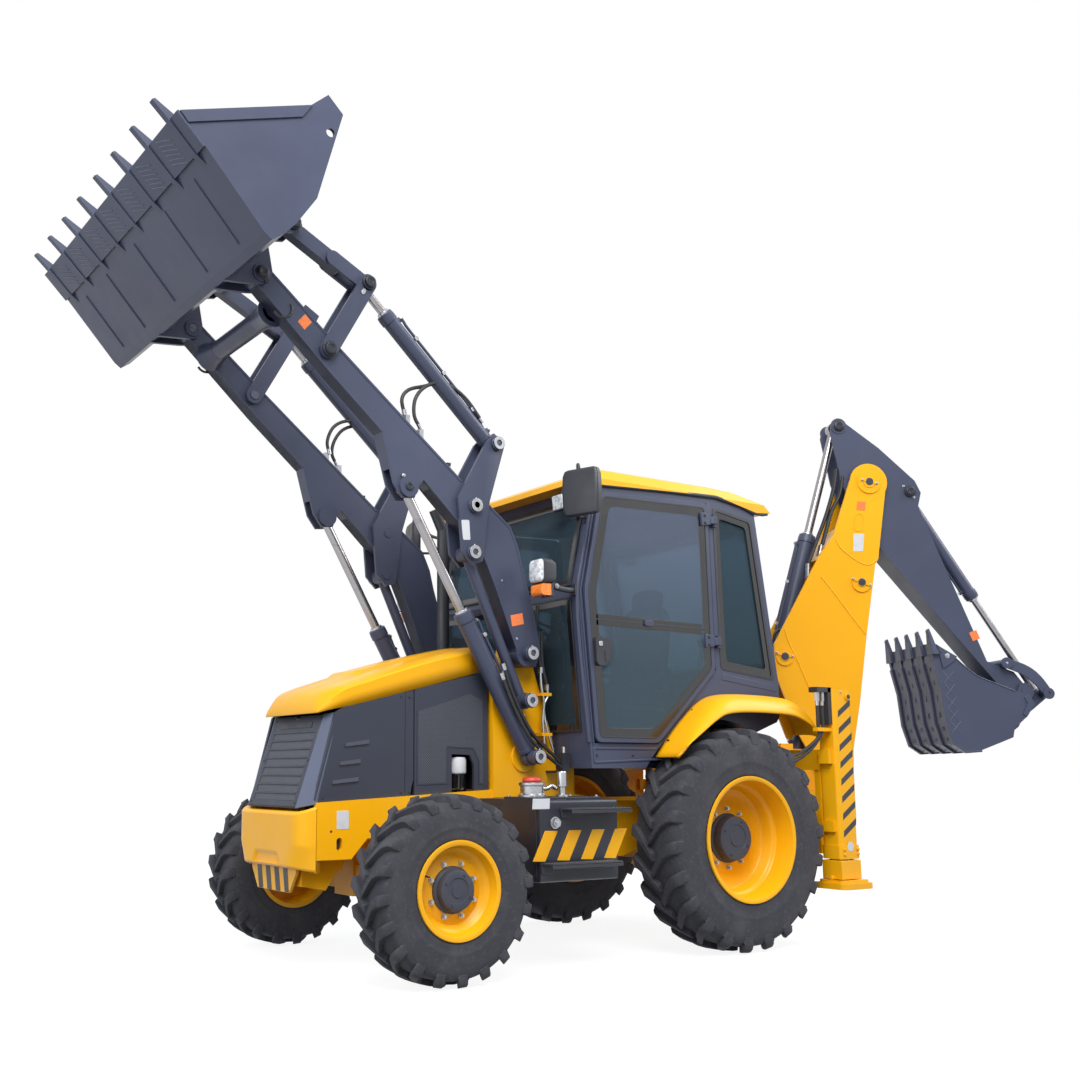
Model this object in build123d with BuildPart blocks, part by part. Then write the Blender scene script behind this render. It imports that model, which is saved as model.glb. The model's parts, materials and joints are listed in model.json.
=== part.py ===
from build123d import *
from math import atan2, cos, degrees, hypot, radians, sin
import os

os.makedirs("parts", exist_ok=True)

# Backhoe loader, millimetres. +X is the way the machine drives, +Y its left, +Z up.
# Side profiles are drawn from a point on the ground under the rear axle, which lies
# REAR_AXLE_X from the origin; backhoe profiles from the ground under its swing pivot.

# ---------------------------------------------------------------- driving dimensions
REAR_AXLE_X = -440.0
BOX_MID = (-9.28, 91.88)  # middle of the machine's box, which the swung backhoe widens to the left
WHEELBASE = 2164.0
CLEAR = 0.3               # between seated pieces of different bodies
GAP = 6.0                 # between pieces that move past each other

FRONT_TYRE_R, FRONT_TYRE_W, FRONT_RIM_R, FRONT_TYRE_Y = 484.0, 308.0, 235.0, 940.0
REAR_TYRE_R, REAR_TYRE_W, REAR_RIM_R, REAR_TYRE_Y = 673.0, 378.0, 362.0, 857.0
LUG_H = 32.0

ARM_Y = 501.0             # middle of each loader arm
ARM_T = 100.0             # width of the arm's box section
PLATE_T = 20.0            # link and lever plates
PIN_R = 27.0
EYE_W = 54.0              # width of a rod's eye
TOWER_OUT = 441.0         # outer face of the loader tower
PIN_OUT = 606.0           # outer end of the loader's pins

HOOD_Y = 412.0            # half width of the hood
RAIL_Y = 428.0            # outer face of the front frame's side plates
CAB_Y = 770.0             # half width of the cab
CAB_WALL = 35.0
DOOR_T = 34.0

SLEW_REST = 30.0          # the backhoe stands swung this far to the left
SWING_X, SWING_Y = -1400.0, 250.0
BOOM_HALF = 160.0         # outer face of each boom plate
DIPPER_HALF = 110.0
HOE_BUCKET_HALF = 375.0

LEG_Y = 1028.0            # middle of each stabilizer leg
LEG_X = -815.0
SLEEVE_X, SLEEVE_Y = 170.0, 144.0

# ---------------------------------------------------------------- pivots (x, z)
ARM_PIVOT = (1319.0, 1774.0)
LEVER_PIVOT = (1716.0, 2624.0)
LEVER_TOP = (1550.0, 3024.0)
TOWER_LINK_PIN = (1329.0, 1494.0)
LIFT_BASE = (1274.0, 1166.0)
LIFT_EYE = (2154.0, 2689.0)
BUCKET_PIN = (3105.0, 3750.0)
TIP_PIN = (2686.0, 3400.0)
TIP_TOP = (2440.0, 3842.0)
BUCKET_TOP_PIN = (2915.0, 4085.0)
TORQUE_TUBE = (2975.0, 3600.0)
LEVER_LOW = (TOWER_LINK_PIN[0] + LEVER_PIVOT[0] - ARM_PIVOT[0],
             TOWER_LINK_PIN[1] + LEVER_PIVOT[1] - ARM_PIVOT[1])

BOOM_FOOT = (-200.0, 780.0)
BOOM_TIP = (-535.0, 3205.0)
BOOM_CYL_BASE = (60.0, 1190.0)
BOOM_CYL_EYE = (-437.0, 2448.0)
DIPPER_CYL_BASE = (159.0, 1901.0)
DIPPER_CYL_EYE = (-347.0, 3645.0)
HOE_CYL_BASE = (-862.0, 3148.0)
HOE_LINK_PIN = (-1480.0, 1860.0)
HOE_END_PIN = (-1780.0, 1640.0)
HOE_HINGE = (-1630.0, 1660.0)
HOE_BUCKET_PIN = (-1500.0, 1420.0)


# ---------------------------------------------------------------- helpers
def side(y=0.0):
    """Plane of a side profile at lateral place y, drawn from under the rear axle."""
    return Plane(origin=(REAR_AXLE_X, y, 0), x_dir=(1, 0, 0), z_dir=(0, -1, 0))


def hoe(y=0.0):
    """Plane of a backhoe profile, y to the left of its middle."""
    a = radians(SLEW_REST)
    origin = (REAR_AXLE_X + SWING_X + y * sin(a), SWING_Y + y * cos(a), 0)
    return Plane(origin=origin, x_dir=(cos(a), -sin(a), 0), z_dir=(-sin(a), -cos(a), 0))


def length(p, q):
    return hypot(q[0] - p[0], q[1] - p[1])


def angle(p, q):
    return degrees(atan2(q[1] - p[1], q[0] - p[0]))


def mid(p, q, share=0.5):
    return (p[0] + (q[0] - p[0]) * share, p[1] + (q[1] - p[1]) * share)


def plate(plane, thickness, points, mode=Mode.ADD):
    """A flat plate with a polygon outline, centred on its plane."""
    with BuildSketch(plane) as sk:
        with BuildLine():
            Polyline(*points, close=True)
        make_face()
    extrude(sk.sketch, amount=thickness / 2, both=True, mode=mode)


def disc(plane, centre, radius, thickness, mode=Mode.ADD):
    """A round boss, pin or hole across its plane."""
    with BuildSketch(plane) as sk:
        with Locations(centre):
            Circle(radius)
    extrude(sk.sketch, amount=thickness / 2, both=True, mode=mode)


def bar(plane, p, q, width, thickness, mode=Mode.ADD):
    """A flat bar with round ends from p to q."""
    with BuildSketch(plane) as sk:
        with Locations(Location((*mid(p, q), 0), (0, 0, angle(p, q)))):
            SlotCenterToCenter(length(p, q), width)
    extrude(sk.sketch, amount=thickness / 2, both=True, mode=mode)


def rod(plane, p, q, radius, mode=Mode.ADD):
    """A round bar along the line p to q in the plane."""
    start, end = plane.from_local_coords(Vector(*p, 0)), plane.from_local_coords(Vector(*q, 0))
    with BuildSketch(Plane(origin=start, z_dir=end - start)) as sk:
        Circle(radius)
    extrude(sk.sketch, amount=(end - start).length, mode=mode)


def block(x0, x1, y0, y1, z0, z1, mode=Mode.ADD):
    """A box between limits given from under the rear axle."""
    with Locations((REAR_AXLE_X + (x0 + x1) / 2, (y0 + y1) / 2, (z0 + z1) / 2)):
        Box(abs(x1 - x0), abs(y1 - y0), abs(z1 - z0), mode=mode)


def post(x, y, z0, z1, radius, mode=Mode.ADD):
    """An upright round pin or hole, x from the rear axle."""
    with BuildSketch(Plane.XY.offset(z0)) as sk:
        with Locations((REAR_AXLE_X + x, y)):
            Circle(radius)
    extrude(sk.sketch, amount=z1 - z0, mode=mode)


def column(x, y, long, wide, z0, z1, radius=26.0):
    """An upright box with rounded corners, x from the rear axle."""
    with BuildSketch(Plane.XY.offset(z0)) as sk:
        with Locations((REAR_AXLE_X + x, y)):
            RectangleRounded(long, wide, radius)
    extrude(sk.sketch, amount=z1 - z0)


def write(builder, name):
    """Stores a piece, with the origin on the ground at the middle of the machine's box."""
    placed = builder.part.moved(Location((-BOX_MID[0], -BOX_MID[1], 0)))
    placed.label = name
    export_step(placed, f"parts/{name}.step")


# ---------------------------------------------------------------- wheels
def tyre_profile(radius, width, rim_r):
    """Half section of a tyre about the wheel's axis: (radius, offset) points."""
    half = width / 2
    return [(rim_r, -half * 0.80), (rim_r + 12, -half * 0.92), (radius * 0.80, -half),
            (radius - LUG_H, -half * 0.94), (radius - LUG_H, half * 0.94), (radius * 0.80, half),
            (rim_r + 12, half * 0.92), (rim_r, half * 0.80)]


def wheel_plane(x, y, z):
    """Revolve plane of a wheel: local x is its radius, local y its axis."""
    return Plane(origin=(REAR_AXLE_X + x, y, z), x_dir=(1, 0, 0), z_dir=(0, 0, 1))


# wheel: name, axle x, middle y, tyre radius, width, rim radius, dish offset, hub cap's radius and height
WHEELS = []
for hand, s in (("left", 1), ("right", -1)):
    WHEELS += [
        (f"front_{hand}", WHEELBASE, s * FRONT_TYRE_Y, FRONT_TYRE_R, FRONT_TYRE_W, FRONT_RIM_R, 60.0, 96.0, 62.0),
        (f"rear_{hand}", 0.0, s * REAR_TYRE_Y, REAR_TYRE_R, REAR_TYRE_W, REAR_RIM_R, -40.0, 135.0, 112.0),
    ]
RIM_T = 16.0
HUB_BORE = 62.0

for name, axle_x, wheel_y, tyre_r, tyre_w, rim_r, dish, cap_r, cap_h in WHEELS:
    out = 1 if wheel_y > 0 else -1
    axle_z = tyre_r
    plane = wheel_plane(axle_x, wheel_y, axle_z)
    with BuildPart() as tyre:
        with BuildSketch(plane):
            with BuildLine():
                Polyline(*tyre_profile(tyre_r, tyre_w, rim_r), close=True)
            make_face()
        revolve(axis=Axis(plane.origin, (0, 1, 0)))
        tread_steps = 16
        for step in range(tread_steps):
            turn = step * 360 / tread_steps
            for hand in (1, -1):
                a = radians(turn + (0 if hand > 0 else 180 / tread_steps))
                radial = Vector(cos(a), 0, sin(a))
                lug_mid = Vector(REAR_AXLE_X + axle_x, wheel_y + hand * tyre_w * 0.235, axle_z)
                lug_mid += radial * (tyre_r - LUG_H - 12)
                lug = Plane(origin=lug_mid, x_dir=(0, hand, 0), z_dir=radial)
                with BuildSketch(lug):
                    with BuildLine():
                        Polyline((-tyre_w * 0.25, 34), (tyre_w * 0.235, -52), (tyre_w * 0.235, -4),
                                 (-tyre_w * 0.25, 72), close=True)
                    make_face()
                extrude(amount=LUG_H + 8, taper=6)
    write(tyre, f"tyre_{name}")

    half = tyre_w / 2
    rim_in = rim_r - CLEAR
    face = dish + 14
    step = face + 0.45 * (half * 0.80 - face)      # the dish narrows here on the outer side
    with BuildPart() as rim:
        with BuildSketch(plane):
            with BuildLine():
                Polyline(*[(r, out * y) for r, y in (
                    (rim_in, -half * 0.94), (rim_in + 18, -half * 0.94), (rim_in + 18, -half * 0.99),
                    (rim_in - 6, -half * 0.99), (rim_in - RIM_T, -half * 0.80), (rim_in - RIM_T, face - 28),
                    (HUB_BORE, face - 28), (HUB_BORE, face), (rim_in - 58, face), (rim_in - 46, face + 8),
                    (rim_in - 44, step - 8), (rim_in - 20, step + 8), (rim_in - RIM_T, half * 0.80),
                    (rim_in - 6, half * 0.99), (rim_in + 18, half * 0.99), (rim_in + 18, half * 0.94),
                    (rim_in, half * 0.94))], close=True)
            make_face()
        revolve(axis=Axis(plane.origin, (0, 1, 0)))
        with BuildSketch(Plane(origin=(REAR_AXLE_X + axle_x, wheel_y + out * face, axle_z),
                               z_dir=(0, out, 0))) as cap:
            Circle(cap_r)
        extrude(cap.sketch, amount=cap_h, taper=4)
    write(rim, f"rim_{name}")

# ---------------------------------------------------------------- frame
SPINDLE_R = HUB_BORE - CLEAR
AXLE_TUBE_R = 85.0
AXLE_SEAT = REAR_TYRE_R + AXLE_TUBE_R + 4
ENGINE_SEAT = 840.0
REAR_FACE = -930.0        # face the backhoe's carriage slides on
LOWER_RAIL, UPPER_RAIL = (560.0, 690.0), (1090.0, 1220.0)
TIE_DOWN, TIE_DOWN_W = ((2504.0, 676.0), (2504.0, 710.0)), 35.0      # slot's two centres, width
with BuildPart() as chassis_frame:
    for s in (1, -1):
        # frame plate: raised over the front axle, notched over the rear one
        plate(side(s * (RAIL_Y - 15)), 30, [
            (2645, 612), (2645, 915), (1500, 975), (1060, 975), (600, 900), (-640, 900), (-640, 640),
            (-200, 640), (-150, AXLE_SEAT), (150, AXLE_SEAT), (200, 640), (250, 640), (500, 560),
            (1700, 560), (1760, 700), (2330, 720), (2430, 612)])
        # loader tower
        plate(side(s * (TOWER_OUT - 40)), 80, [
            (1495, 930), (1495, 1560), (1400, 1835), (1345, 1862), (1280, 1860), (1225, 1800), (1050, 1250),
            (1030, 1090), (1030, 930)])
        for centre, radius in ((ARM_PIVOT, 70), (TOWER_LINK_PIN, 50), (LIFT_BASE, 80)):
            disc(side(s * (TOWER_OUT + 1)), centre, radius, 10)
            disc(side(s * (TOWER_OUT + PIN_OUT) / 2), centre, PIN_R, PIN_OUT - TOWER_OUT)
        # seats of the side tank and of the cab
        block(1100, 1590, s * (RAIL_Y - 2), s * TOWER_OUT, 620, 900)
        block(880, 1000, s * (RAIL_Y - 60), s * RAIL_Y, 930, 1100 - CLEAR)
        block(-560, -480, s * (RAIL_Y - 60), s * RAIL_Y, 880, 1372 - CLEAR)
        # stabilizer sleeve
        column(LEG_X, s * LEG_Y, SLEEVE_X, SLEEVE_Y, 530, 1605)
        column(LEG_X, s * LEG_Y, SLEEVE_X + 16, SLEEVE_Y + 16, 530, 615)
        # hose bracket before it, and the lugs before and behind
        front, back = LEG_X + SLEEVE_X / 2, LEG_X - SLEEVE_X / 2
        block(front - 5, front + 38, s * (LEG_Y - 40), s * (LEG_Y + 40), 1130, 1220)
        block(front - 5, front + 22, s * (LEG_Y - 40), s * (LEG_Y + 40), 700, 770)
        block(back - 38, back + 5, s * (LEG_Y + 10), s * (LEG_Y + 34), 760, 1100)
        disc(side(s * (LEG_Y + SLEEVE_Y / 2 + 4)), (LEG_X - 45, 1560), 22, 14)
        block(LEG_X - SLEEVE_X / 2 + 20, LEG_X + SLEEVE_X / 2 - 20, s * (LEG_Y - SLEEVE_Y / 2 + 20),
              s * (LEG_Y + SLEEVE_Y / 2 - 20), 500, 1585, mode=Mode.SUBTRACT)
    # cross members: nose, behind the front axle, under the cab, and the tower's tie
    block(2560, 2645, -RAIL_Y, RAIL_Y, 640, 860)
    block(1560, 1640, -RAIL_Y, RAIL_Y, 600, ENGINE_SEAT)
    block(300, 400, -RAIL_Y, RAIL_Y, 680, 860)
    block(1150, 1250, -TOWER_OUT + 20, TOWER_OUT - 20, 1000, 1080)
    # axle saddle and the engine's front seat on it
    block(2040, 2280, -120, 120, 640, 760)
    block(2040, 2280, -RAIL_Y, RAIL_Y, 730, 790)
    block(2200, 2280, -250, 250, 780, ENGINE_SEAT)
    # rear frame: two rails across, end plates to the sleeves
    for z0, z1 in (LOWER_RAIL, UPPER_RAIL):
        block(REAR_FACE, -720, -LEG_Y + SLEEVE_Y / 2 + 1, LEG_Y - SLEEVE_Y / 2 - 1, z0, z1)
    for s in (1, -1):
        block(-900, -730, s * (LEG_Y - SLEEVE_Y / 2 - 40), s * (LEG_Y - SLEEVE_Y / 2 + 5), 560, 1220)
        block(-760, -600, s * (RAIL_Y - 60), s * RAIL_Y, 600, 1220)
        # tie-down hole in the nose
        bar(side(s * (RAIL_Y - 15)), TIE_DOWN[0], TIE_DOWN[1], TIE_DOWN_W, 60, mode=Mode.SUBTRACT)
write(chassis_frame, "chassis_frame")

with BuildPart() as front_weight:
    with BuildSketch(Plane.XY.offset(560)):
        with Locations((REAR_AXLE_X + (2645 + CLEAR + 2737) / 2, 0)):
            Rectangle(2737 - 2645 - CLEAR, 2 * RAIL_Y)
    extrude(amount=308)
    chamfer(front_weight.edges().filter_by(Axis.Z).sort_by(Axis.X)[-2:], 70, 84)
    # its top rises to the grille; recess in the face; plate under it, narrower below
    plate(side(0), 2 * RAIL_Y - 180, [(2645 + CLEAR, 860), (2645 + CLEAR, 898), (2670, 898), (2728, 868),
                                      (2728, 860)])
    block(2725, 2740, -290, 290, 600, 640, mode=Mode.SUBTRACT)
    with BuildSketch(Plane(origin=(REAR_AXLE_X + 2672, 0, 0), x_dir=(0, 1, 0), z_dir=(1, 0, 0))) as under:
        with BuildLine():
            Polyline((-203, 430), (-286, 540), (-286, 565), (286, 565), (286, 540), (203, 430), close=True)
        make_face()
    extrude(under.sketch, amount=18)
write(front_weight, "front_weight")

KING_Y, KING_PIN_R = 850.0, 22.0     # steering pivots, inside the front rims
with BuildPart() as axles:
    # front axle beam
    plate(side(0), 2 * (KING_Y - 45), [
        (WHEELBASE - 70, 415), (WHEELBASE + 70, 415), (WHEELBASE + 70, 553), (WHEELBASE - 70, 553)])
    for s in (1, -1):
        with BuildSketch(Plane.XY.offset(415)):
            with Locations((REAR_AXLE_X + WHEELBASE, s * KING_Y)):
                Circle(45)
            with Locations((REAR_AXLE_X + WHEELBASE, s * (KING_Y - 30))):
                Rectangle(90, 60)
        extrude(amount=138)
        post(WHEELBASE, s * KING_Y, 400, 570, KING_PIN_R + CLEAR, mode=Mode.SUBTRACT)
    block(WHEELBASE - 80, WHEELBASE + 80, -110, 110, 380, 640 - CLEAR)
    # rear axle: housing, trumpets, hubs and the pads under the frame
    block(-150, 150, -200, 200, 520, 830)
    disc(side(0), (0, REAR_TYRE_R), AXLE_TUBE_R, 1260)
    for s in (1, -1):
        disc(side(s * 700), (0, REAR_TYRE_R), SPINDLE_R, 260)
        block(-80, 80, s * 385, s * 440, REAR_TYRE_R, AXLE_SEAT - CLEAR)
write(axles, "axles")

for name, s in (("left", 1), ("right", -1)):
    with BuildPart() as knuckle:
        # yoke over and under the beam's end, and the wheel's spindle
        block(WHEELBASE - 50, WHEELBASE + 50, s * (KING_Y - 45), s * (KING_Y + 70), 375, 409)
        block(WHEELBASE - 50, WHEELBASE + 50, s * (KING_Y - 45), s * (KING_Y + 70), 559, 593)
        block(WHEELBASE - 50, WHEELBASE + 50, s * (KING_Y + 54), s * (KING_Y + 84), 375, 593)
        disc(side(s * (KING_Y + 120)), (WHEELBASE, FRONT_TYRE_R), SPINDLE_R, 80)
        post(WHEELBASE, s * KING_Y, 380, 588, KING_PIN_R)
    write(knuckle, f"knuckle_{name}")

with BuildPart() as engine_block:
    block(1560, 2380, -250, 250, ENGINE_SEAT + CLEAR, 1330)
write(engine_block, "engine_block")

# ---------------------------------------------------------------- hood and engine panels
STACK_X, STACK_Y, PIPE_Z = 1419.0, -220.0, 1250.0
HOOD_HINGE, HINGE_PIN_R = (1562.0, 1790.0), 8.0
HOOD_BUMP_Y = 142.0
# section: x, lower edge z, crease z, top z
HOOD_SECTIONS = [(1580, 1665, 1785, 1820), (2200, 1512, 1612, 1655), (2480, 1440, 1520, 1560)]
with BuildPart() as hood:
    for x, low, crease, top in HOOD_SECTIONS:
        with BuildSketch(Plane(origin=(REAR_AXLE_X + x, 0, 0), x_dir=(0, 1, 0), z_dir=(1, 0, 0))):
            with BuildLine():
                Polyline((-HOOD_Y, low), (-HOOD_Y, crease), (-HOOD_Y + 110, top), (HOOD_Y - 110, top),
                         (HOOD_Y, crease), (HOOD_Y, low), close=True)
            make_face()
    loft(ruled=True)
    with BuildSketch(Plane(origin=(REAR_AXLE_X + 2480, 0, 0), x_dir=(0, 1, 0), z_dir=(1, 0, 0))):
        with BuildLine():
            Polyline((-HOOD_Y, 1440), (-HOOD_Y, 1520), (-HOOD_Y + 110, 1560), (HOOD_Y - 110, 1560),
                     (HOOD_Y, 1520), (HOOD_Y, 1440), close=True)
        make_face()
    with BuildSketch(Plane(origin=(REAR_AXLE_X + 2600, 0, 0), x_dir=(0, 1, 0), z_dir=(1, 0, 0))):
        with BuildLine():
            Polyline((-330, 1408), (-330, 1450), (-290, 1470), (290, 1470), (330, 1450), (330, 1408),
                     close=True)
        make_face()
    loft(ruled=True)
    # hollow over the engine, narrower in the nose
    plate(side(0), 2 * (HOOD_Y - 25), [(1540, 1600), (1540, 1740), (2200, 1575), (2440, 1485), (2440, 1380)],
          mode=Mode.SUBTRACT)
    plate(side(0), 560, [(2430, 1380), (2430, 1490), (2560, 1440), (2560, 1380)], mode=Mode.SUBTRACT)
    # raised middle, ending in a slope before the nose
    plate(side(0), 2 * HOOD_BUMP_Y, [(1600, 1780), (1600, 1826), (1907, 1745), (2250, 1664), (2262, 1660),
                                     (2318, 1616), (2318, 1590), (2200, 1620)])
    plate(side(0), 2 * HOOD_BUMP_Y - 60, [(1700, 1780), (1700, 1808), (1907, 1754), (2235, 1676), (2245, 1664),
                                          (2200, 1640)])
    # hinge lugs
    for y in (-284, 284):
        plate(side(y), 14, [(1620, 1800), (1565, 1806), (1546, 1796), (1546, 1784), (1565, 1774), (1620, 1735)])
        disc(side(y), HOOD_HINGE, HINGE_PIN_R + CLEAR, 30, mode=Mode.SUBTRACT)
write(hood, "hood")

GRILLE_LOW, GRILLE_HIGH, GRILLE_SLOTS = (2706.0, 940.0), (2568.0, 1375.0), 9
with BuildPart() as engine_panels:
    for s in (1, -1):
        # cut up behind the front wheel's place, with a seam before the rear part
        plate(side(s * (HOOD_Y - 14)), 24, [
            (1510, 976), (1510, 1676), (2480, 1434), (2530, 1400), (2650, 930), (2640, 916), (2060, 946),
            (2020, 1047), (1806, 1165), (1690, 1165), (1605, 985)])
        plate(side(s * (HOOD_Y - 4)), 14, [(2020, 1000), (2020, 1560), (2030, 1560), (2030, 1000)],
              mode=Mode.SUBTRACT)
        # grille corner strips
        with BuildSketch(Plane.XY.offset(905)):
            with Locations((REAR_AXLE_X + 2655, s * 360)):
                Rectangle(30, 76)
        extrude(amount=20)
        # ears the hood is hinged on, with their pins
        block(1500, HOOD_HINGE[0], s * 230, s * 270, 1600, HOOD_HINGE[1])
        disc(side(s * 250), HOOD_HINGE, 12, 40)
        disc(side(s * 262), HOOD_HINGE, HINGE_PIN_R, 70)
    # rear bulkhead; grille, leaning back
    block(1512, 1536, -HOOD_Y + 20, HOOD_Y - 20, 976, 1640)
    rod(side(STACK_Y), (1500, PIPE_Z), (1548, PIPE_Z), 36, mode=Mode.SUBTRACT)
    plate(side(0), 2 * 385, [(2650, 916), (2710, 916), (2555, 1404), (2510, 1404)])
    for i in range(GRILLE_SLOTS):
        low = mid(GRILLE_LOW, GRILLE_HIGH, (i + 0.2) / GRILLE_SLOTS)
        high = mid(GRILLE_LOW, GRILLE_HIGH, (i + 0.8) / GRILLE_SLOTS)
        plate(side(0), 2 * 296, [low, high, (high[0] - 24, high[1]), (low[0] - 24, low[1])], mode=Mode.SUBTRACT)
    block(2380, 2690, -385, 385, 900, 930)
write(engine_panels, "engine_panels")

with BuildPart() as exhaust_stack:
    # pipe from the engine, muffler and stack behind the hood
    rod(side(STACK_Y), (STACK_X, PIPE_Z), (1560 - CLEAR, PIPE_Z), 30)
    for z0, z1, radius in ((1215, 1900, 38), (1890, 2640, 40)):
        with BuildSketch(Plane.XY.offset(z0)):
            with Locations((REAR_AXLE_X + STACK_X, STACK_Y)):
                Circle(radius)
        extrude(amount=z1 - z0)
    rod(side(STACK_Y), (STACK_X, 2630), (STACK_X + 70, 2770), 36)
write(exhaust_stack, "exhaust_stack")

# ---------------------------------------------------------------- cab
CAB_OUTLINE = [(1020, 1100), (1030, 1240), (1105, 2150), (960, 2810), (-60, 2860), (-420, 2790), (-590, 1660),
               (-590, 1440), (-560, 1400), (300, 1100)]
DOOR_OUTLINE = [(1000, 1245), (1072, 2150), (935, 2775), (20, 2805), (0, 1710), (500, 1245)]
DOOR_HINGE, HINGE_Z = (-24.0, 800.0), (1900.0, 2690.0)
QUARTER = [(-50, 2770), (-375, 2720), (-530, 1690), (-75, 1740)]
ARCH_R = 735.0
ARCH_IN = 645.0


def inset(points, amount):
    """The outline moved inward by a wall."""
    with BuildSketch(Plane.XY) as sk:
        with BuildLine():
            Polyline(*points, close=True)
        make_face()
        offset(amount=-amount, kind=Kind.INTERSECTION, mode=Mode.REPLACE)
    return sk.sketch


with BuildPart() as cab_frame:
    plate(side(0), 2 * CAB_Y, CAB_OUTLINE)
    extrude(side(0) * inset(CAB_OUTLINE, CAB_WALL), amount=CAB_Y - CAB_WALL, both=True, mode=Mode.SUBTRACT)
    for s in (1, -1):
        # wheel arch: its shell, then its opening
        arch_w = CAB_Y - ARCH_IN
        with BuildSketch(side(s * (CAB_Y + ARCH_IN) / 2)) as arch:
            Rectangle(2000, 3000, align=(Align.CENTER, Align.MIN))
            with Locations((0, REAR_TYRE_R)):
                Circle(ARCH_R + 20, mode=Mode.INTERSECT)
            with BuildLine():
                Polyline(*CAB_OUTLINE, close=True)
            make_face(mode=Mode.INTERSECT)
        extrude(arch.sketch, amount=arch_w / 2, both=True)
        disc(side(s * (CAB_Y + ARCH_IN + 20)/2 ), (0, REAR_TYRE_R), ARCH_R, arch_w + 20, mode=Mode.SUBTRACT)
        plate(side(s * (CAB_Y - CAB_WALL / 2)), CAB_WALL + 8, DOOR_OUTLINE, mode=Mode.SUBTRACT)
        plate(side(s * (CAB_Y - CAB_WALL / 2)), CAB_WALL + 8, QUARTER, mode=Mode.SUBTRACT)
    # windscreen above and below the bend, and the rear window
    for low, high in (((1000, 1320), (1000, 2110)), ((900, 2190), (900, 2740))):
        block(low[0] - 40, 1200, -CAB_Y + 70, CAB_Y - 70, low[1], high[1], mode=Mode.SUBTRACT)
    block(-700, -400, -CAB_Y + 80, CAB_Y - 80, 1760, 2700, mode=Mode.SUBTRACT)
    for s in (1, -1):
        for z in HINGE_Z:
            block(-60, -2, s * (CAB_Y - 5), s * (CAB_Y + 6), z - 40, z + 40)
            block(-40, -12, s * (CAB_Y - 5), s * DOOR_HINGE[1], z - 40, z - 26)
            block(-40, -12, s * (CAB_Y - 5), s * DOOR_HINGE[1], z + 26, z + 40)
            post(DOOR_HINGE[0], s * DOOR_HINGE[1], z - 40, z + 40, HINGE_PIN_R)
write(cab_frame, "cab_frame")

with BuildPart() as cab_roof:
    plate(side(0), 2 * 790, [(1090, 2812), (1080, 2850), (900, 2930), (-80, 2950), (-500, 2850), (-560, 2800),
                             (-424, 2790.3), (-60, 2860.3), (960, 2810.3)])
    # its long edges slope down to the sides
    with BuildSketch(Plane(origin=(REAR_AXLE_X - 600, 0, 0), x_dir=(0, 1, 0), z_dir=(1, 0, 0))) as section:
        with BuildLine():
            Polyline((-790, 2780), (-790, 2850), (-750, 2912), (-650, 2955), (650, 2955), (750, 2912),
                     (790, 2850), (790, 2780), close=True)
        make_face()
    extrude(section.sketch, amount=1800, mode=Mode.INTERSECT)
write(cab_roof, "cab_roof")

for name, s in (("left", 1), ("right", -1)):
    with BuildPart() as door:
        extrude(side(s * (CAB_Y + 2)) * inset(DOOR_OUTLINE, 5), amount=DOOR_T / 2, both=True)
        extrude(side(s * (CAB_Y + 2)) * inset(DOOR_OUTLINE, 75), amount=DOOR_T, both=True, mode=Mode.SUBTRACT)
        plate(side(s * (CAB_Y + 2)), DOOR_T, [(60, 1960), (60, 2010), (1020, 2000), (1015, 1950)])
        # lock and handle
        block(895, 1005, s * (CAB_Y + 16), s * (CAB_Y + 42), 1765, 1850)
        for z in HINGE_Z:
            post(DOOR_HINGE[0], s * DOOR_HINGE[1], z - 24, z + 24, 15)
            block(-17, 93, s * (DOOR_HINGE[1] - 14), s * (DOOR_HINGE[1] + 12), z - 24, z + 24)
            post(DOOR_HINGE[0], s * DOOR_HINGE[1], z - 30, z + 30, HINGE_PIN_R + CLEAR, mode=Mode.SUBTRACT)
    write(door, f"door_frame_{name}")
    with BuildPart() as glass:
        extrude(side(s * (CAB_Y + 2)) * inset(DOOR_OUTLINE, 75 + CLEAR), amount=3, both=True)
        plate(side(s * (CAB_Y + 2)), 20, [(0, 1955), (0, 2015), (1100, 2005), (1100, 1945)], mode=Mode.SUBTRACT)
    write(glass, f"door_glass_{name}")

with BuildPart() as cab_glass:
    for s in (1, -1):
        extrude(side(s * (CAB_Y - CAB_WALL / 2)) * inset(QUARTER, CLEAR), amount=3, both=True)
write(cab_glass, "cab_glass")

with BuildPart() as cab_interior:
    # seat platform on the sloping floor, seat, backrest and console
    plate(side(0), 600, [(-450, 1472), (380, 1472), (380, 1135 + CLEAR), (306, 1135.5), (-450, 1399.2)])
    block(-150, 350, -260, 260, 1470, 1600)
    block(-150, -30, -250, 250, 1600, 2250)
    block(760, 980, -180, 180, 1135 + CLEAR, 1800)
write(cab_interior, "cab_interior")

# ---------------------------------------------------------------- fenders, tanks
FENDER_CREST = [(520, 1170), (400, 1310), (270, 1430), (165, 1508), (60, 1550), (-100, 1564), (-420, 1558),
                (-560, 1532), (-650, 1466), (-700, 1390), (-720, 1320)]
FENDER_LIP = [(560, 1165), (450, 1245), (330, 1325), (215, 1398), (110, 1440), (-90, 1454), (-400, 1448),
              (-530, 1426), (-640, 1374), (-690, 1322), (-712, 1290)]
FENDER_T = 26.0
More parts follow.
